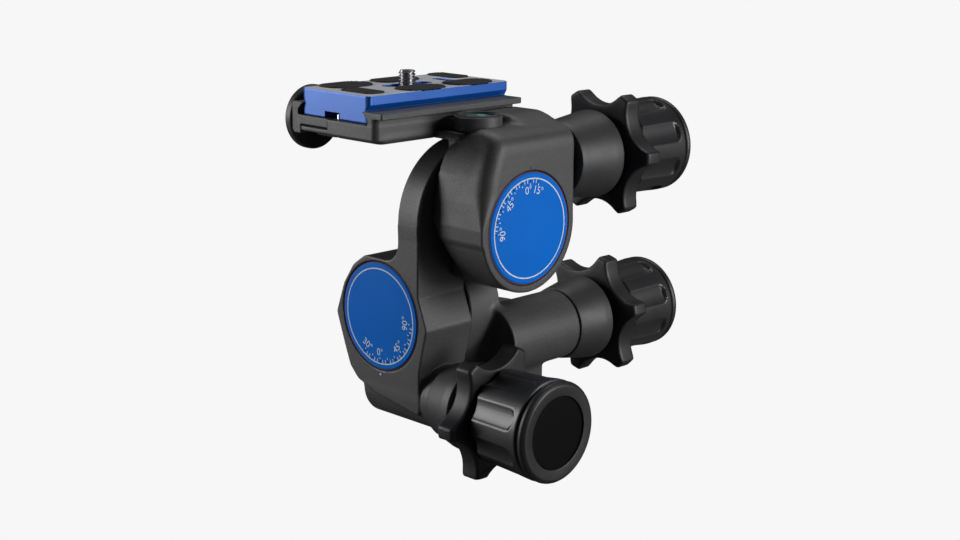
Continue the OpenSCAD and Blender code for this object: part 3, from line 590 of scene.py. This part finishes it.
def reach_of(name):
    """How far the knob's end stands out along its worm axis."""
    low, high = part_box(name + "_knob_grip")
    axis = DRIVES[name][0]
    return float(np.dot(np.array(high) / mm - axis.origin, axis.along))


for name, (axis, body, start) in DRIVES.items():
    reach = reach_of(name)
    ring_low = reach - KNOB_LEN - RING_GAP - RING_W
    end = ring_low - 2.5
    lathe(name + "_flared_sleeve", axis, soften([
        (start - 9, 5, 0.2), (start - 9, 9.4, 0.4), (start, 9.4, 0), (start, 14.0, 0.5), (start + 2.0, 14.4, 0.4),
        (end - 4.5, 16.3, 1.5), (end - 1.0, 16.6, 0.8), (end, 15.6, 0.6), (end, 12, 0.3),
        (ring_low + RING_W, 12, 0.4), (ring_low + RING_W, 5, 0.2)]),
        sleeve_coat, body, name + "_sleeve", slot="sleeve_black", sides=128)


# ---- Release rings -----------------------------------------------------------
# Moulded rings with six swept lobes behind each knob, satin black. On the real
# head a twist of the ring lifts the worm out of mesh.

def satin_plastic(name, dark, light, rough=0.38):
    """Moulded plastic with a faint spark-eroded grain."""
    paint = Paint(name, IOR=1.49)
    where = paint.place()
    grain = paint.noise(where, 3.4, 2.0, 0.6)
    smear = paint.noise(where, 0.16, 3.0, 0.6)
    paint.set("Base Color", paint.mix(smear, dark, light))
    paint.set("Roughness", rough + 0.14 * smear + 0.06 * grain)
    paint.set("Normal", paint.bump(grain, 0.02))
    return paint.material


ring_plastic = satin_plastic("ring_plastic", colour(28, 28, 30), colour(42, 42, 44))
LOBES, RING_R, VALLEY_R = 6, 25.0, 18.2
RING_TURNS = {"pan": -14.0, "tilt": 35.0, "side": 30.0}


def lobed(turn):
    """The ring's outer radius: circles scooped from a disc, with softened tips."""
    def radius(u, r, angle):
        scoop = 14.0
        centre = VALLEY_R + scoop
        off = (np.degrees(angle) - turn) % (360 / LOBES) - 180 / LOBES
        a = np.radians(off)
        inside = np.maximum(scoop ** 2 - (centre * np.sin(a)) ** 2, 0)
        bite = np.where(np.abs(centre * np.sin(a)) < scoop, centre * np.cos(a) - np.sqrt(inside), RING_R + 9)
        soft = 2.0
        near = np.maximum(soft - np.abs(bite - RING_R), 0) / soft
        rim = np.minimum(bite, RING_R) - near * near * soft / 4
        share = np.clip((r - 12.05) / (RING_R - 12.05), 0, 1)
        return 12.05 + (rim - 12.05) * share
    return radius


for name, (axis, body, start) in DRIVES.items():
    low = reach_of(name) - KNOB_LEN - RING_GAP - RING_W
    lathe(name + "_lobed_ring", axis, soften([
        (low, 12.05, 0.2), (low, 20, 0), (low, RING_R, 1.6), (low + RING_W, RING_R, 1.6), (low + RING_W, 20, 0),
        (low + RING_W, 12.05, 0.2)], steps=7),
        ring_plastic, name + "_ring", name + "_release_ring", slot="ring_black", sides=288,
        radius=lobed(RING_TURNS[name]), smooth=60)


# ---- Knobs -------------------------------------------------------------------
# Glossy moulded grips with eight scooped flutes, a plain satin ring round the
# end and a ribbed rubber disc let into it.

knob_gloss = Paint("knob_gloss", IOR=1.5, Coat_Weight=0.12, Coat_Roughness=0.12)
where = knob_gloss.place()
haze = knob_gloss.noise(where, 0.09, 4.0, 0.6)
dust = knob_gloss.noise(where, 5.0, 2.0, 0.7)
knob_gloss.set("Base Color", knob_gloss.mix(haze, colour(34, 34, 36), colour(48, 48, 50)))
knob_gloss.set("Roughness", 0.31 + 0.12 * haze + 0.05 * knob_gloss.step(dust, 0.6, 0.75))
knob_gloss.set("Normal", knob_gloss.bump(haze, 0.03))
knob_gloss = knob_gloss.material

end_ring_plastic = satin_plastic("end_ring_plastic", colour(30, 30, 32), colour(42, 42, 44), rough=0.34)

cap_rubber = Paint("cap_rubber", IOR=1.4, Specular_IOR_Level=0.2)
where = cap_rubber.place()
x, y, z = cap_rubber.split(where)
thread = cap_rubber.noise(where, 3.0, 2.0)
twill = ((x + y + z * 1.35) * 7.4).sine() * 0.5 + 0.5
cap_rubber.set("Base Color", cap_rubber.mix(twill * thread, colour(3, 3, 5), colour(13, 14, 18)))
cap_rubber.set("Roughness", 0.62 + 0.2 * thread)
cap_rubber.set("Normal", cap_rubber.bump(twill * 0.7 + thread * 0.3, 0.12))
cap_rubber = cap_rubber.material

FLUTES, KNOB_R = 8, 18.5


def fluted(turn, foot):
    """The grip's outer radius: crisp-edged shallow scoops, squared off near the end."""
    def radius(u, r, angle):
        off = (np.degrees(angle) - turn + 180 / FLUTES) % (360 / FLUTES) - 180 / FLUTES
        edge = block(np.radians(off) * KNOB_R, u + 0 * off, -4.44, 4.44, foot - 20, foot + KNOB_LEN - 6.6, 3.0)
        arc = 1.25 * np.clip(1 - (off / 13.75) ** 2, 0, 1)
        depth = arc * np.clip(-edge / 0.9, 0, 1) ** 0.7
        return np.where(r > 15, r - depth, r)
    return radius


for name, (axis, body, start) in DRIVES.items():
    end = reach_of(name)
    foot = end - KNOB_LEN
    wall = [(foot + t, 17.4 + 1.0 * t / (KNOB_LEN - 4)) for t in np.linspace(1.2, KNOB_LEN - 4.6, 60)]
    lathe(name + "_grip", axis, soften([(foot, 4, 0), (foot, 16.2, 0.6)], closed=False) + wall + soften([
        (end - 4.2, 18.3, 0), (end - 3.9, 17.5, 0.2), (end - 3.3, 17.5, 0.2), (end - 3.2, 13, 0), (end - 3.2, 4, 0)],
        closed=False), knob_gloss, name + "_drive", name + "_knob_grip", slot="knob_gloss", sides=288,
        radius=fluted(22.5, foot), smooth=24)
    lathe(name + "_end_ring", axis, soften([
        (end - 3.3, 13.05, 0.2), (end - 3.3, 18.0, 0.9), (end - 1.2, 18.5, 1.4), (end, 16.9, 1.1),
        (end - 0.25, 13.2, 0.35), (end - 1.4, 13.05, 0.1)]),
        end_ring_plastic, name + "_drive", slot="knob_gloss", sides=128)
    lathe(name + "_end_disc", axis, [(end - 3.2, 0)] + soften([
        (end - 3.2, 0.5, 0), (end - 3.2, 13.0, 0.2), (end - 0.9, 13.0, 0.3), (end - 0.8, 0.5, 0)], closed=False)
        + [(end - 0.8, 0)], cap_rubber, name + "_drive", name + "_knob_cap", slot="cap_rubber", sides=96)


# ---- Scale discs -------------------------------------------------------------
# Blue anodised aluminium discs, printed in white: a ring line, a tick each five
# degrees over the range of the tilt, and degree numbers, read from the outside
# on the upper dial and from the middle on the lower one.

def anodised(name, deep, bright, rough=0.42):
    paint = Paint(name, IOR=1.45, Specular_IOR_Level=0.12)
    where = paint.place()
    satin = paint.noise(where, 6.0, 3.0, 0.7)
    cloud = paint.noise(where, 0.05, 2.0)
    paint.set("Base Color", paint.mix(cloud * 0.8 + satin * 0.2, deep, bright))
    paint.set("Roughness", rough + 0.12 * satin)
    paint.set("Normal", paint.bump(satin, 0.006))
    return paint.material


dial_blue = anodised("dial_blue", colour(0, 108, 214), colour(4, 124, 232))
copper_edge = anodised("dial_edge", colour(96, 52, 44), colour(120, 70, 60), rough=0.4)
print_white = satin_plastic("print_white", colour(226, 232, 238), colour(242, 245, 248), rough=0.5)

DISC_R, DISC_TOP = 20.4, 0.12
DIALS = {
    "tilt": (Axis((TILT_AXIS.x, arm_face, TILT_AXIS.z), (0, 0, -1), (0, -1, 0)), "pan_body",
             {0: 0, 30: -30, 45: 45, 90: 90}, (-30, 90), -1),
    "side": (Axis((head_right, SIDE_AXIS.y, SIDE_AXIS.z), (0, 0, 1), (1, 0, 0)), "arm_body",
             {0: 4, 15: -17, 45: 45, 90: 90}, (-15, 90), 1),
}


def tick_tool():
    """A node group that lays bars of one size round an arc, as on a dial."""
    tool = bpy.data.node_groups.new("tick_arc", "GeometryNodeTree")
    sockets = {}
    for label, kind in (("Count", "Int"), ("First Angle", "Float"), ("Step Angle", "Float"), ("Radius", "Float"),
                        ("Bar Size", "Vector"), ("Material", "Material")):
        sockets[label] = tool.interface.new_socket(label, in_out="INPUT", socket_type="NodeSocket" + kind).identifier
    tool.interface.new_socket("Geometry", in_out="OUTPUT", socket_type="NodeSocketGeometry")
    given = tool.nodes.new("NodeGroupInput").outputs

    def node(kind, out=0, **links):
        item = tool.nodes.new(kind)
        for key, value in links.items():
            if key == "operation":
                item.operation = value
            else:
                tool.links.new(value, item.inputs[int(key[1:]) if key[0] == "_" else key.replace("_", " ")])
        return item.outputs[out]

    turns = node("ShaderNodeMath", operation="MULTIPLY", _0=node("GeometryNodeInputIndex"), _1=given["Step Angle"])
    angle = node("ShaderNodeMath", operation="ADD", _0=turns, _1=given["First Angle"])
    along = node("ShaderNodeMath", operation="COSINE", _0=angle)
    across = node("ShaderNodeMath", operation="SINE", _0=angle)
    spot = node("ShaderNodeCombineXYZ", X=along, Y=across)
    place = node("ShaderNodeVectorMath", operation="SCALE", _0=spot, Scale=given["Radius"])
    line = node("GeometryNodeMeshLine", Count=given["Count"])
    marks = node("GeometryNodeSetPosition", Geometry=line, Position=place)
    tick = node("GeometryNodeMeshCube", Size=given["Bar Size"])
    spin = node("ShaderNodeCombineXYZ", Z=angle)
    bars = node("GeometryNodeInstanceOnPoints", Points=marks, Instance=tick, Rotation=spin)
    whole = node("GeometryNodeRealizeInstances", Geometry=bars)
    inked = node("GeometryNodeSetMaterial", Geometry=whole, Material=given["Material"])
    tool.links.new(inked, tool.nodes.new("NodeGroupOutput").inputs[0])
    return tool, sockets


def points_of(item):
    """The finished mesh of an object, as local points and faces, and the object removed."""
    mesh = bpy.data.meshes.new_from_object(item.evaluated_get(bpy.context.evaluated_depsgraph_get()))
    seams = bmesh.new()
    seams.from_mesh(mesh)
    bmesh.ops.remove_doubles(seams, verts=seams.verts, dist=0.001)
    seams.to_mesh(mesh)
    seams.free()
    points = [tuple(v.co) for v in mesh.vertices]
    faces = [tuple(p.vertices) for p in mesh.polygons]
    bpy.data.objects.remove(item)
    return points, faces


def ticks(tool, sockets, **inputs):
    item = bpy.data.objects.new("ticks", bpy.data.meshes.new("ticks"))
    bpy.context.scene.collection.objects.link(item)
    change = item.modifiers.new("ticks", "NODES")
    change.node_group = tool
    for label, value in inputs.items():
        change[sockets[label.replace("_", " ")]] = value
    return points_of(item)


def numeral(words, size):
    """A degree number as a thin solid, centred, reading along local X."""
    data = bpy.data.curves.new("numeral", "FONT")
    data.body, data.size, data.extrude = words, size, 0.05
    data.align_x, data.align_y = "CENTER", "CENTER"
    item = bpy.data.objects.new("numeral", data)
    bpy.context.scene.collection.objects.link(item)
    return points_of(item)


def flat_ring(axis, inner, outer, low, high, sides=160):
    return turned(axis, [(low, inner), (low, outer), (high, outer), (high, inner)], sides)


tick_arc, tick_sockets = tick_tool()
for name, (axis, body, numbers, span, top) in DIALS.items():
    lathe(name + "_dial", axis, [(-1.5, 0)] + soften([
        (-1.5, 0.5, 0), (-1.5, DISC_R - 0.2, 0.1), (DISC_TOP - 0.35, DISC_R - 0.15, 0),
        (DISC_TOP, DISC_R - 0.55, 0.1), (DISC_TOP, 0.5, 0)], closed=False) + [(DISC_TOP, 0)],
        dial_blue, body, name + "_scale_disc", slot="dial_blue", sides=160)
    points, faces = flat_ring(axis, DISC_R - 0.14, DISC_R + 0.22, -1.2, DISC_TOP - 0.42)
    piece(name + "_dial_edge", points, outward(points, faces), copper_edge, body, slot="dial_blue")
    points, faces = flat_ring(axis, 17.9, 18.35, DISC_TOP - 0.1, DISC_TOP + 0.03)
    points, faces = list(points), outward(points, faces)
    shapes = []
    for step, long in ((5, 1.5), (15, 2.3)):
        first = -(-span[0] // step) * step
        shapes.append(ticks(tick_arc, tick_sockets, Count=(span[1] - first) // step + 1, First_Angle=radians(first),
                            Step_Angle=radians(step), Radius=18.0 - long / 2, Bar_Size=(long, 0.32, 0.12),
                            Material=print_white))
    for number, degree in numbers.items():
        glyph, glyph_faces = numeral(f"{number}\u00b0", 3.9)
        a = radians(degree)
        out, side = np.array([cos(a), sin(a)]), np.array([-sin(a), cos(a)])
        spread = np.array([[*(out * (13.9 + top * p[1]) - side * top * p[0]), p[2]] for p in glyph])
        shapes.append((spread, glyph_faces))
    for local, local_faces in shapes:
        local = np.array(local)
        first = len(points)
        points += list(axis.at(local[:, 0], local[:, 1], local[:, 2] + DISC_TOP - 0.03))
        faces += [tuple(first + i for i in f) for f in outward(points[first:], local_faces)]
    piece(name + "_dial_print", points, faces, print_white, body, slot="index_white")


# ---- Clamp -------------------------------------------------------------------
# The dovetail clamp bolted on the neck: a body with a fixed rail, a jaw that a
# screw draws in from the far side, a round screw knob and a safety pin.

PLATE_X, PLATE_Y, PLATE_Z, PLATE_T = -8.2, -29.6, 123.95, 9.8
JAW_TOP = 128.5
clamp_left, clamp_right, clamp_front, clamp_back = -26.7, 16.0, -66.6, 3.4


def dovetail(x, z, grow):
    """Signed distance to the plate's section, seen along Y."""
    right = [(19.7 + grow, -grow), (19.7 + grow, 1.6), (16.7 + grow, 4.6), (18.5 + grow, 6.4), (18.5 + grow, 12)]
    corners = [(-u, v) for u, v in reversed(right)] + right
    return outline(x, z, [(PLATE_X + u, PLATE_Z + v) for u, v in corners])


def clamp_body(x, y, z):
    rim = np.clip((-y - 60) / 4, 0, 1)
    plan = block(x, y, clamp_left, clamp_right, clamp_front, clamp_back, 2.5)
    slab = bar(plan, z, 118.3, floor_z, 0.6)
    belly = bar(block(x, y, -20.7, clamp_right, -64.6, -2.6, 3), z, deck_z, 120.5, 1.6)
    wall = bar(block(x, y, PLATE_X, clamp_right, clamp_front, clamp_back, 2.5), z, 118.5, JAW_TOP, 0.4)
    rail = bar(block(x, y, 8, 19.3, clamp_front, clamp_back, 0.6), z, 126.2, JAW_TOP, 0.3)
    pod = bar(disc(x, y, LEVEL[0], LEVEL[1], LEVEL[2]), z, deck_z + 3, LEVEL[3] - 0.5, 0.5)
    bridge = bar(block(x, y, 14, LEVEL[0], LEVEL[1] - 6.7, LEVEL[1] + 6.7, 0.5), z, deck_z + 3, 124, 0.5)
    body = np.minimum(join(join(slab, belly, 1.5), wall, 0.5), rail)
    body = join(join(body, pod, 1.0), bridge, 1.0)
    channel = common(dovetail(x, z, 0.1), np.abs(y + 30) - 60, 0)
    body = cut(body, channel, 0.25)
    seat = np.maximum(block(x, y, -40, -10.4, -80, -58.8, 1.5), 120.0 - z)
    body = cut(body, seat, 0.4)
    body = cut(body, bar(disc(x, y, -7.6, -62.1, 1.75), z, 100, 140, 0), 0.2)
    body = cut(body, bar(block(x, y, 6, 20, -38, 2, 0), z, 110, deck_z + 3, 0), 0.1)
    return cut(body, bar(disc(x, y, LEVEL[0], LEVEL[1], LEVEL[2] - 0.8), z, 121, 140, 0), 0.2)


cast("clamp_casting", clamp_body, (clamp_left, clamp_front, deck_z), (36, clamp_back, JAW_TOP), 0.5, casting_coat,
     "head", "clamp_body", slot="powder_coat")

jaw_shape = soften([(-31.2, deck_z, 1.2), (-26.85, deck_z, 0.5), (-26.85, 123.9, 0), (-28.0, 123.9, 0.1),
                    (-28.0, 125.55, 0.1), (-25.05, JAW_TOP, 0.3), (-31.2, JAW_TOP, 0.8)], steps=3)


def moving_jaw(x, y, z):
    hook = np.maximum(outline(x, z, jaw_shape), np.abs(y + 31.6) - 34.0)
    tongue = bar(block(x, y, -27.6, -10.7, -65.6, -59.1, 1.2), z, 120.3, 123.85, 0.5)
    return join(hook, tongue, 0.3)


cast("moving_jaw_casting", moving_jaw, (-31.2, -65.6, deck_z), (-10.7, 2.4, JAW_TOP), 0.42, casting_coat, "jaw",
     "moving_jaw", slot="powder_coat")

clamp_axis = Axis((-31.5, -54, 121.4), (0, 0, 1), (-1, 0, 0))
lathe("clamp_screw_knob", clamp_axis, [(0, 0)] + soften([
    (0, 0.5, 0), (0, 11.4, 0.4), (0.9, 12, 0.6), (3.6, 12, 1.2), (5, 10.6, 1.2), (4.6, 4, 1), (4.6, 0.5, 0)],
    closed=False) + [(4.6, 0)], ring_plastic, "jaw_knob", "clamp_knob", slot="knob_gloss", sides=120)


def metal(name, dark, light, rough, scratch, squeeze=(1, 1, 1)):
    """Machined metal: fine tool lines, drawn out along one direction."""
    paint = Paint(name, Metallic=1.0)
    drawn = paint.node("VectorMath", {"operation": "MULTIPLY"}, paint.place(), squeeze)
    lines = paint.noise(drawn, scratch, 3.0, 0.6)
    paint.set("Base Color", paint.mix(lines, dark, light))
    paint.set("Roughness", rough + 0.18 * lines)
    paint.set("Normal", paint.bump(lines, 0.01))
    return paint.material


steel = metal("machined_steel", colour(150, 150, 154), colour(198, 198, 200), 0.24, 3.0, (0.3, 1, 4))
brass = metal("machined_brass", colour(168, 130, 62), colour(206, 170, 96), 0.28, 3.0, (1, 1, 4))
for node, part in nodes.items():
    if any(word in node for word in ("bush", "wheel", "pan_washer")):
        part.data.materials[0] = brass
    elif any(word in node for word in ("shaft", "worm", "nut", "bolts", "insert", "clamp_screw")):
        part.data.materials[0] = steel
    elif "cover" in node:
        part.data.materials[0] = casting_coat

lathe("safety_pin_steel", Axis((-7.6, -62.1, 119.2), (1, 0, 0), (0, 0, 1)), [(0, 0)] + soften([
    (0, 0.4, 0), (0, 1.6, 0.1), (0.8, 1.6, 0.1), (0.8, 2.6, 0.1), (1.7, 2.6, 0.1), (1.7, 1.6, 0.1), (6.6, 1.6, 0.5),
    (6.6, 0.4, 0)], closed=False) + [(6.6, 0)], steel, "pin", "safety_pin", slot="steel", sides=40)


# ---- Level -------------------------------------------------------------------
# A bull's-eye spirit level let into a pod beside the rail, its bezel bright at
# the rim, with a green vial and one bubble.

level_line = Axis((LEVEL[0], LEVEL[1], LEVEL[3]), (1, 0, 0), (0, 0, 1))
bezel_paint = satin_plastic("bezel_plastic", colour(52, 54, 56), colour(74, 76, 78), rough=0.26)
lathe("level_ring", level_line, soften([
    (-4.9, 6.05, 0.1), (-4.9, 7.85, 0.1), (-0.5, 7.85, 0.2), (0, 7.4, 0.3), (0, 6.5, 0.3), (-0.7, 6.05, 0.1)]),
    bezel_paint, "head", "level_bezel", slot="ring_black", sides=96)

vial_paint = Paint("level_vial", IOR=1.5, Coat_Weight=0.2, Coat_Roughness=0.05, Roughness=0.2)
where = vial_paint.place()
x, y, z = vial_paint.split(where)
off = ((x - LEVEL[0] - 1.2) * (x - LEVEL[0] - 1.2) + (y - LEVEL[1] - 0.6) * (y - LEVEL[1] - 0.6)).root()
out = ((x - LEVEL[0]) * (x - LEVEL[0]) + (y - LEVEL[1]) * (y - LEVEL[1])).root()
bubble = vial_paint.step(2.1 - off, 0.0, 0.25)
circle = vial_paint.step(0.2 - abs(out - 3.1), 0.0, 0.1)
swirl = vial_paint.noise(where, 0.25, 2.0)
liquid = vial_paint.mix(swirl, colour(4, 84, 54), colour(10, 122, 80))
liquid = vial_paint.mix(bubble, liquid, colour(96, 196, 150))
vial_paint.set("Base Color", vial_paint.mix(circle, liquid, colour(8, 20, 16)))
vial_paint.set("Normal", vial_paint.bump(bubble, 0.12))
lathe("level_green_vial", level_line, [(-4.9, 0)] + soften([
    (-4.9, 0.5, 0), (-4.9, 5.98, 0.1), (-0.75, 5.98, 0.2), (-0.45, 3, 4), (-0.4, 0.4, 0)], closed=False)
    + [(-0.4, 0)], vial_paint.material, "head", "level_vial", slot="vial_green", sides=80)


# ---- Quick release plate -----------------------------------------------------
# A dovetail plate, anodised blue and then milled bright on top, with six ribbed
# rubber pads and the camera screw standing in its slot.

plate_paint = Paint("plate_anodised", IOR=1.6)
where = plate_paint.place()
x, y, z = plate_paint.split(where)
satin = plate_paint.noise(where, 5.0, 3.0, 0.7)
cloud = plate_paint.noise(where, 0.06, 2.0)
cutter = plate_paint.node("VectorMath", {"operation": "MULTIPLY"}, where, (6, 0.25, 1))
mill = plate_paint.noise(cutter, 1.2, 3.0, 0.6)
top = plate_paint.step(z, PLATE_Z + PLATE_T - 0.12, PLATE_Z + PLATE_T - 0.05)
blue = plate_paint.mix(cloud * 0.8 + satin * 0.2, colour(2, 84, 178), colour(12, 104, 204))
silver = plate_paint.mix(mill, colour(205, 208, 214), colour(238, 240, 244))
plate_paint.set("Base Color", plate_paint.mix(top, blue, silver))
plate_paint.set("Roughness", 0.34 + 0.10 * satin)
plate_paint.set("Metallic", 0.25 - 0.20 * top)
plate_paint.set("Normal", plate_paint.bump(satin * 0.5 + mill * 0.5, 0.008))


def slot_shape(x, y, r):
    return np.hypot(x - PLATE_X, np.maximum(np.abs(y - PLATE_Y) - 8, 0)) - r


def quick_plate(x, y, z):
    u, v, w = x - PLATE_X, y - PLATE_Y, z - PLATE_Z
    right = [(19.7, 0), (19.7, 1.6), (16.7, 4.6), (18.5, 6.4), (18.5, PLATE_T)]
    section = outline(u, w, [(-a, b) for a, b in reversed(right)] + right)
    plan = np.minimum(block(u, v, -18.5, 18.5, -35, 35, 2.2) + 60 * (w < 4.6), block(u, v, -19.7, 19.7, -35, 35, 3.4))
    body = common(section, plan, 0.35)
    body = cut(body, np.maximum(slot_shape(x, y, 3.48), -w - 5), 0.3)
    body = cut(body, np.maximum(slot_shape(x, y, 7.7), w - 7.35), 0.1)
    body = cut(body, np.maximum(block(u, v, -7, 7, 18, 22.5, 1.8), 8.3 - w), 0.25)
    return cut(body, np.maximum(block(x, y, -13.7, -5.7, -90, -54.2, 0.8), w - 2.2), 0.25)


cast("dovetail_plate", quick_plate, (-28, -64.7, PLATE_Z), (11.6, 5.5, PLATE_Z + PLATE_T), 0.5, plate_paint.material,
     "plate", "quick_release_plate", slot="plate_anodised")

pad_rubber = Paint("pad_rubber", IOR=1.4)
where = pad_rubber.place()
speck = pad_rubber.noise(where, 3.0, 3.0, 0.7)
pad_rubber.set("Base Color", pad_rubber.mix(speck, colour(22, 22, 24), colour(46, 46, 48)))
pad_rubber.set("Roughness", 0.6 + 0.25 * speck)
pad_rubber.set("Normal", pad_rubber.bump(speck, 0.03))

PADS = [(-12, -19.5, 15, 20), (-12.5, 5, 12, 20), (-9, 29.5, 18, 9), (6, -27, 18, 9), (12.5, -5, 12, 20),
        (12, 19.5, 13, 20)]
points, faces = [], []
cols, rib_pitch, rib_height, pad_height = 7, 1.25, 0.14, 0.42
for px, py, wide, long in PADS:
    rows = np.linspace(-0.5, 0.5, 8 * int(long) + 1)
    corner = 0.42 * min(wide, long)
    first = len(points)
    for row in rows:
        v = row * (long - 0.02)
        past = max(abs(v) - (long / 2 - corner), 0)
        half = wide / 2 - corner + np.sqrt(max(corner ** 2 - past ** 2, 0.0))
        rib = rib_height * (0.5 + 0.5 * cos(v * 2 * pi / rib_pitch))
        edge = min(1.0, max(half, 0.05) / 0.5)
        for level, share in ((-0.3, 1.0), (0.30, 1.0), (pad_height + rib, 0.94)):
            for k in range(cols):
                t = 2 * k / (cols - 1) - 1
                if 0 < level < pad_height and 0 < k < cols - 1:
                    t = 1.0 if t > 0 else -1.0
                points.append((PLATE_X + px + t * share * max(half, 0.05), PLATE_Y + py + v,
                               PLATE_Z + PLATE_T + level * edge))
    line = 3 * cols
    for i in range(len(rows) - 1):
        a, b = first + i * line, first + (i + 1) * line
        for k in range(cols - 1):
            faces.append((a + k, b + k, b + k + 1, a + k + 1))
            faces.append((a + 2 * cols + k + 1, b + 2 * cols + k + 1, b + 2 * cols + k, a + 2 * cols + k))
        for k, flip in ((0, False), (cols - 1, True)):
            for low, high in ((0, cols), (cols, 2 * cols)):
                quad = (a + low + k, a + high + k, b + high + k, b + low + k)
                faces.append(tuple(reversed(quad)) if flip else quad)
    for row, flip in ((0, False), (len(rows) - 1, True)):
        a = first + row * line
        loop = [a + k for k in range(cols)] + [a + 2 * cols - 1]
        loop += [a + 2 * cols + k for k in range(cols - 1, -1, -1)] + [a + cols]
        faces.append(tuple(reversed(loop)) if flip else tuple(loop))
piece("rubber_pads", points, faces, pad_rubber.material, "plate", "plate_pads", slot="cap_rubber", smooth=30)


THREAD_R, THREAD_PITCH, THREAD_DEPTH, SHANK_R = 3.175, 1.27, 0.62, 2.6


def threaded(u, r, angle):
    """A quarter inch thread, cut into the plain screw."""
    turn = (u / THREAD_PITCH - angle / (2 * pi)) % 1.0
    cutting = THREAD_DEPTH * (1 - np.abs(2 * turn - 1) * 1.15).clip(0, 1)
    return np.where(r > THREAD_R - 0.275, r - cutting, r)


screw_line = Axis((PLATE_X, PLATE_Y, 0), (1, 0, 0), (0, 0, 1))
shank = soften([(127.55, 0.5, 0), (127.55, 6.8, 0.3), (129.85, 6.8, 0.2), (129.85, SHANK_R, 0.1),
                (131.4, SHANK_R, 0)], closed=False)
thread_line = [(u, THREAD_R) for u in np.linspace(131.5, 138.5, 112)]
screw_end = [(138.9, 2.7), (138.95, 2.4), (138.95, 0.4), (138.95, 0)]
lathe("camera_screw_steel", screw_line, [(127.55, 0)] + shank + thread_line + screw_end, steel, "screw",
      "camera_screw", slot="steel", sides=72, radius=threaded, smooth=28)
lathe("screw_washer_steel", screw_line, soften([(129.95, 2.8, 0.05), (129.95, 7, 0.15), (131.05, 7, 0.15),
      (131.05, 2.8, 0.05)]), steel, "washer", "screw_washer", slot="steel", sides=72)

# ---- Index dots --------------------------------------------------------------
# A painted white dot under the lower dial and a dark one over the upper dial,
# each standing a hair proud of its casting.

dark_paint = satin_plastic("dot_dark", colour(10, 10, 11), colour(18, 18, 19))
for name, axis, body, paint in (
        ("tilt", Axis((TILT_AXIS.x, arm_face - 0.05, 27.6), (1, 0, 0), (0, -1, 0)), "arm_body", print_white),
        ("side", Axis((head_right + 0.05, SIDE_AXIS.y, SIDE_AXIS.z + 22), (0, 0, 1), (1, 0, 0)), "head", dark_paint)):
    lathe(name + "_dot", axis, [(-0.9, 0)] + soften([
        (-0.9, 0.2, 0), (-0.9, 0.76, 0), (-0.12, 0.76, 0.1), (-0.02, 0.3, 0.3), (0, 0.1, 0)], closed=False)
        + [(0, 0)], paint, body, name + "_index_dot", slot="index_white", sides=28)
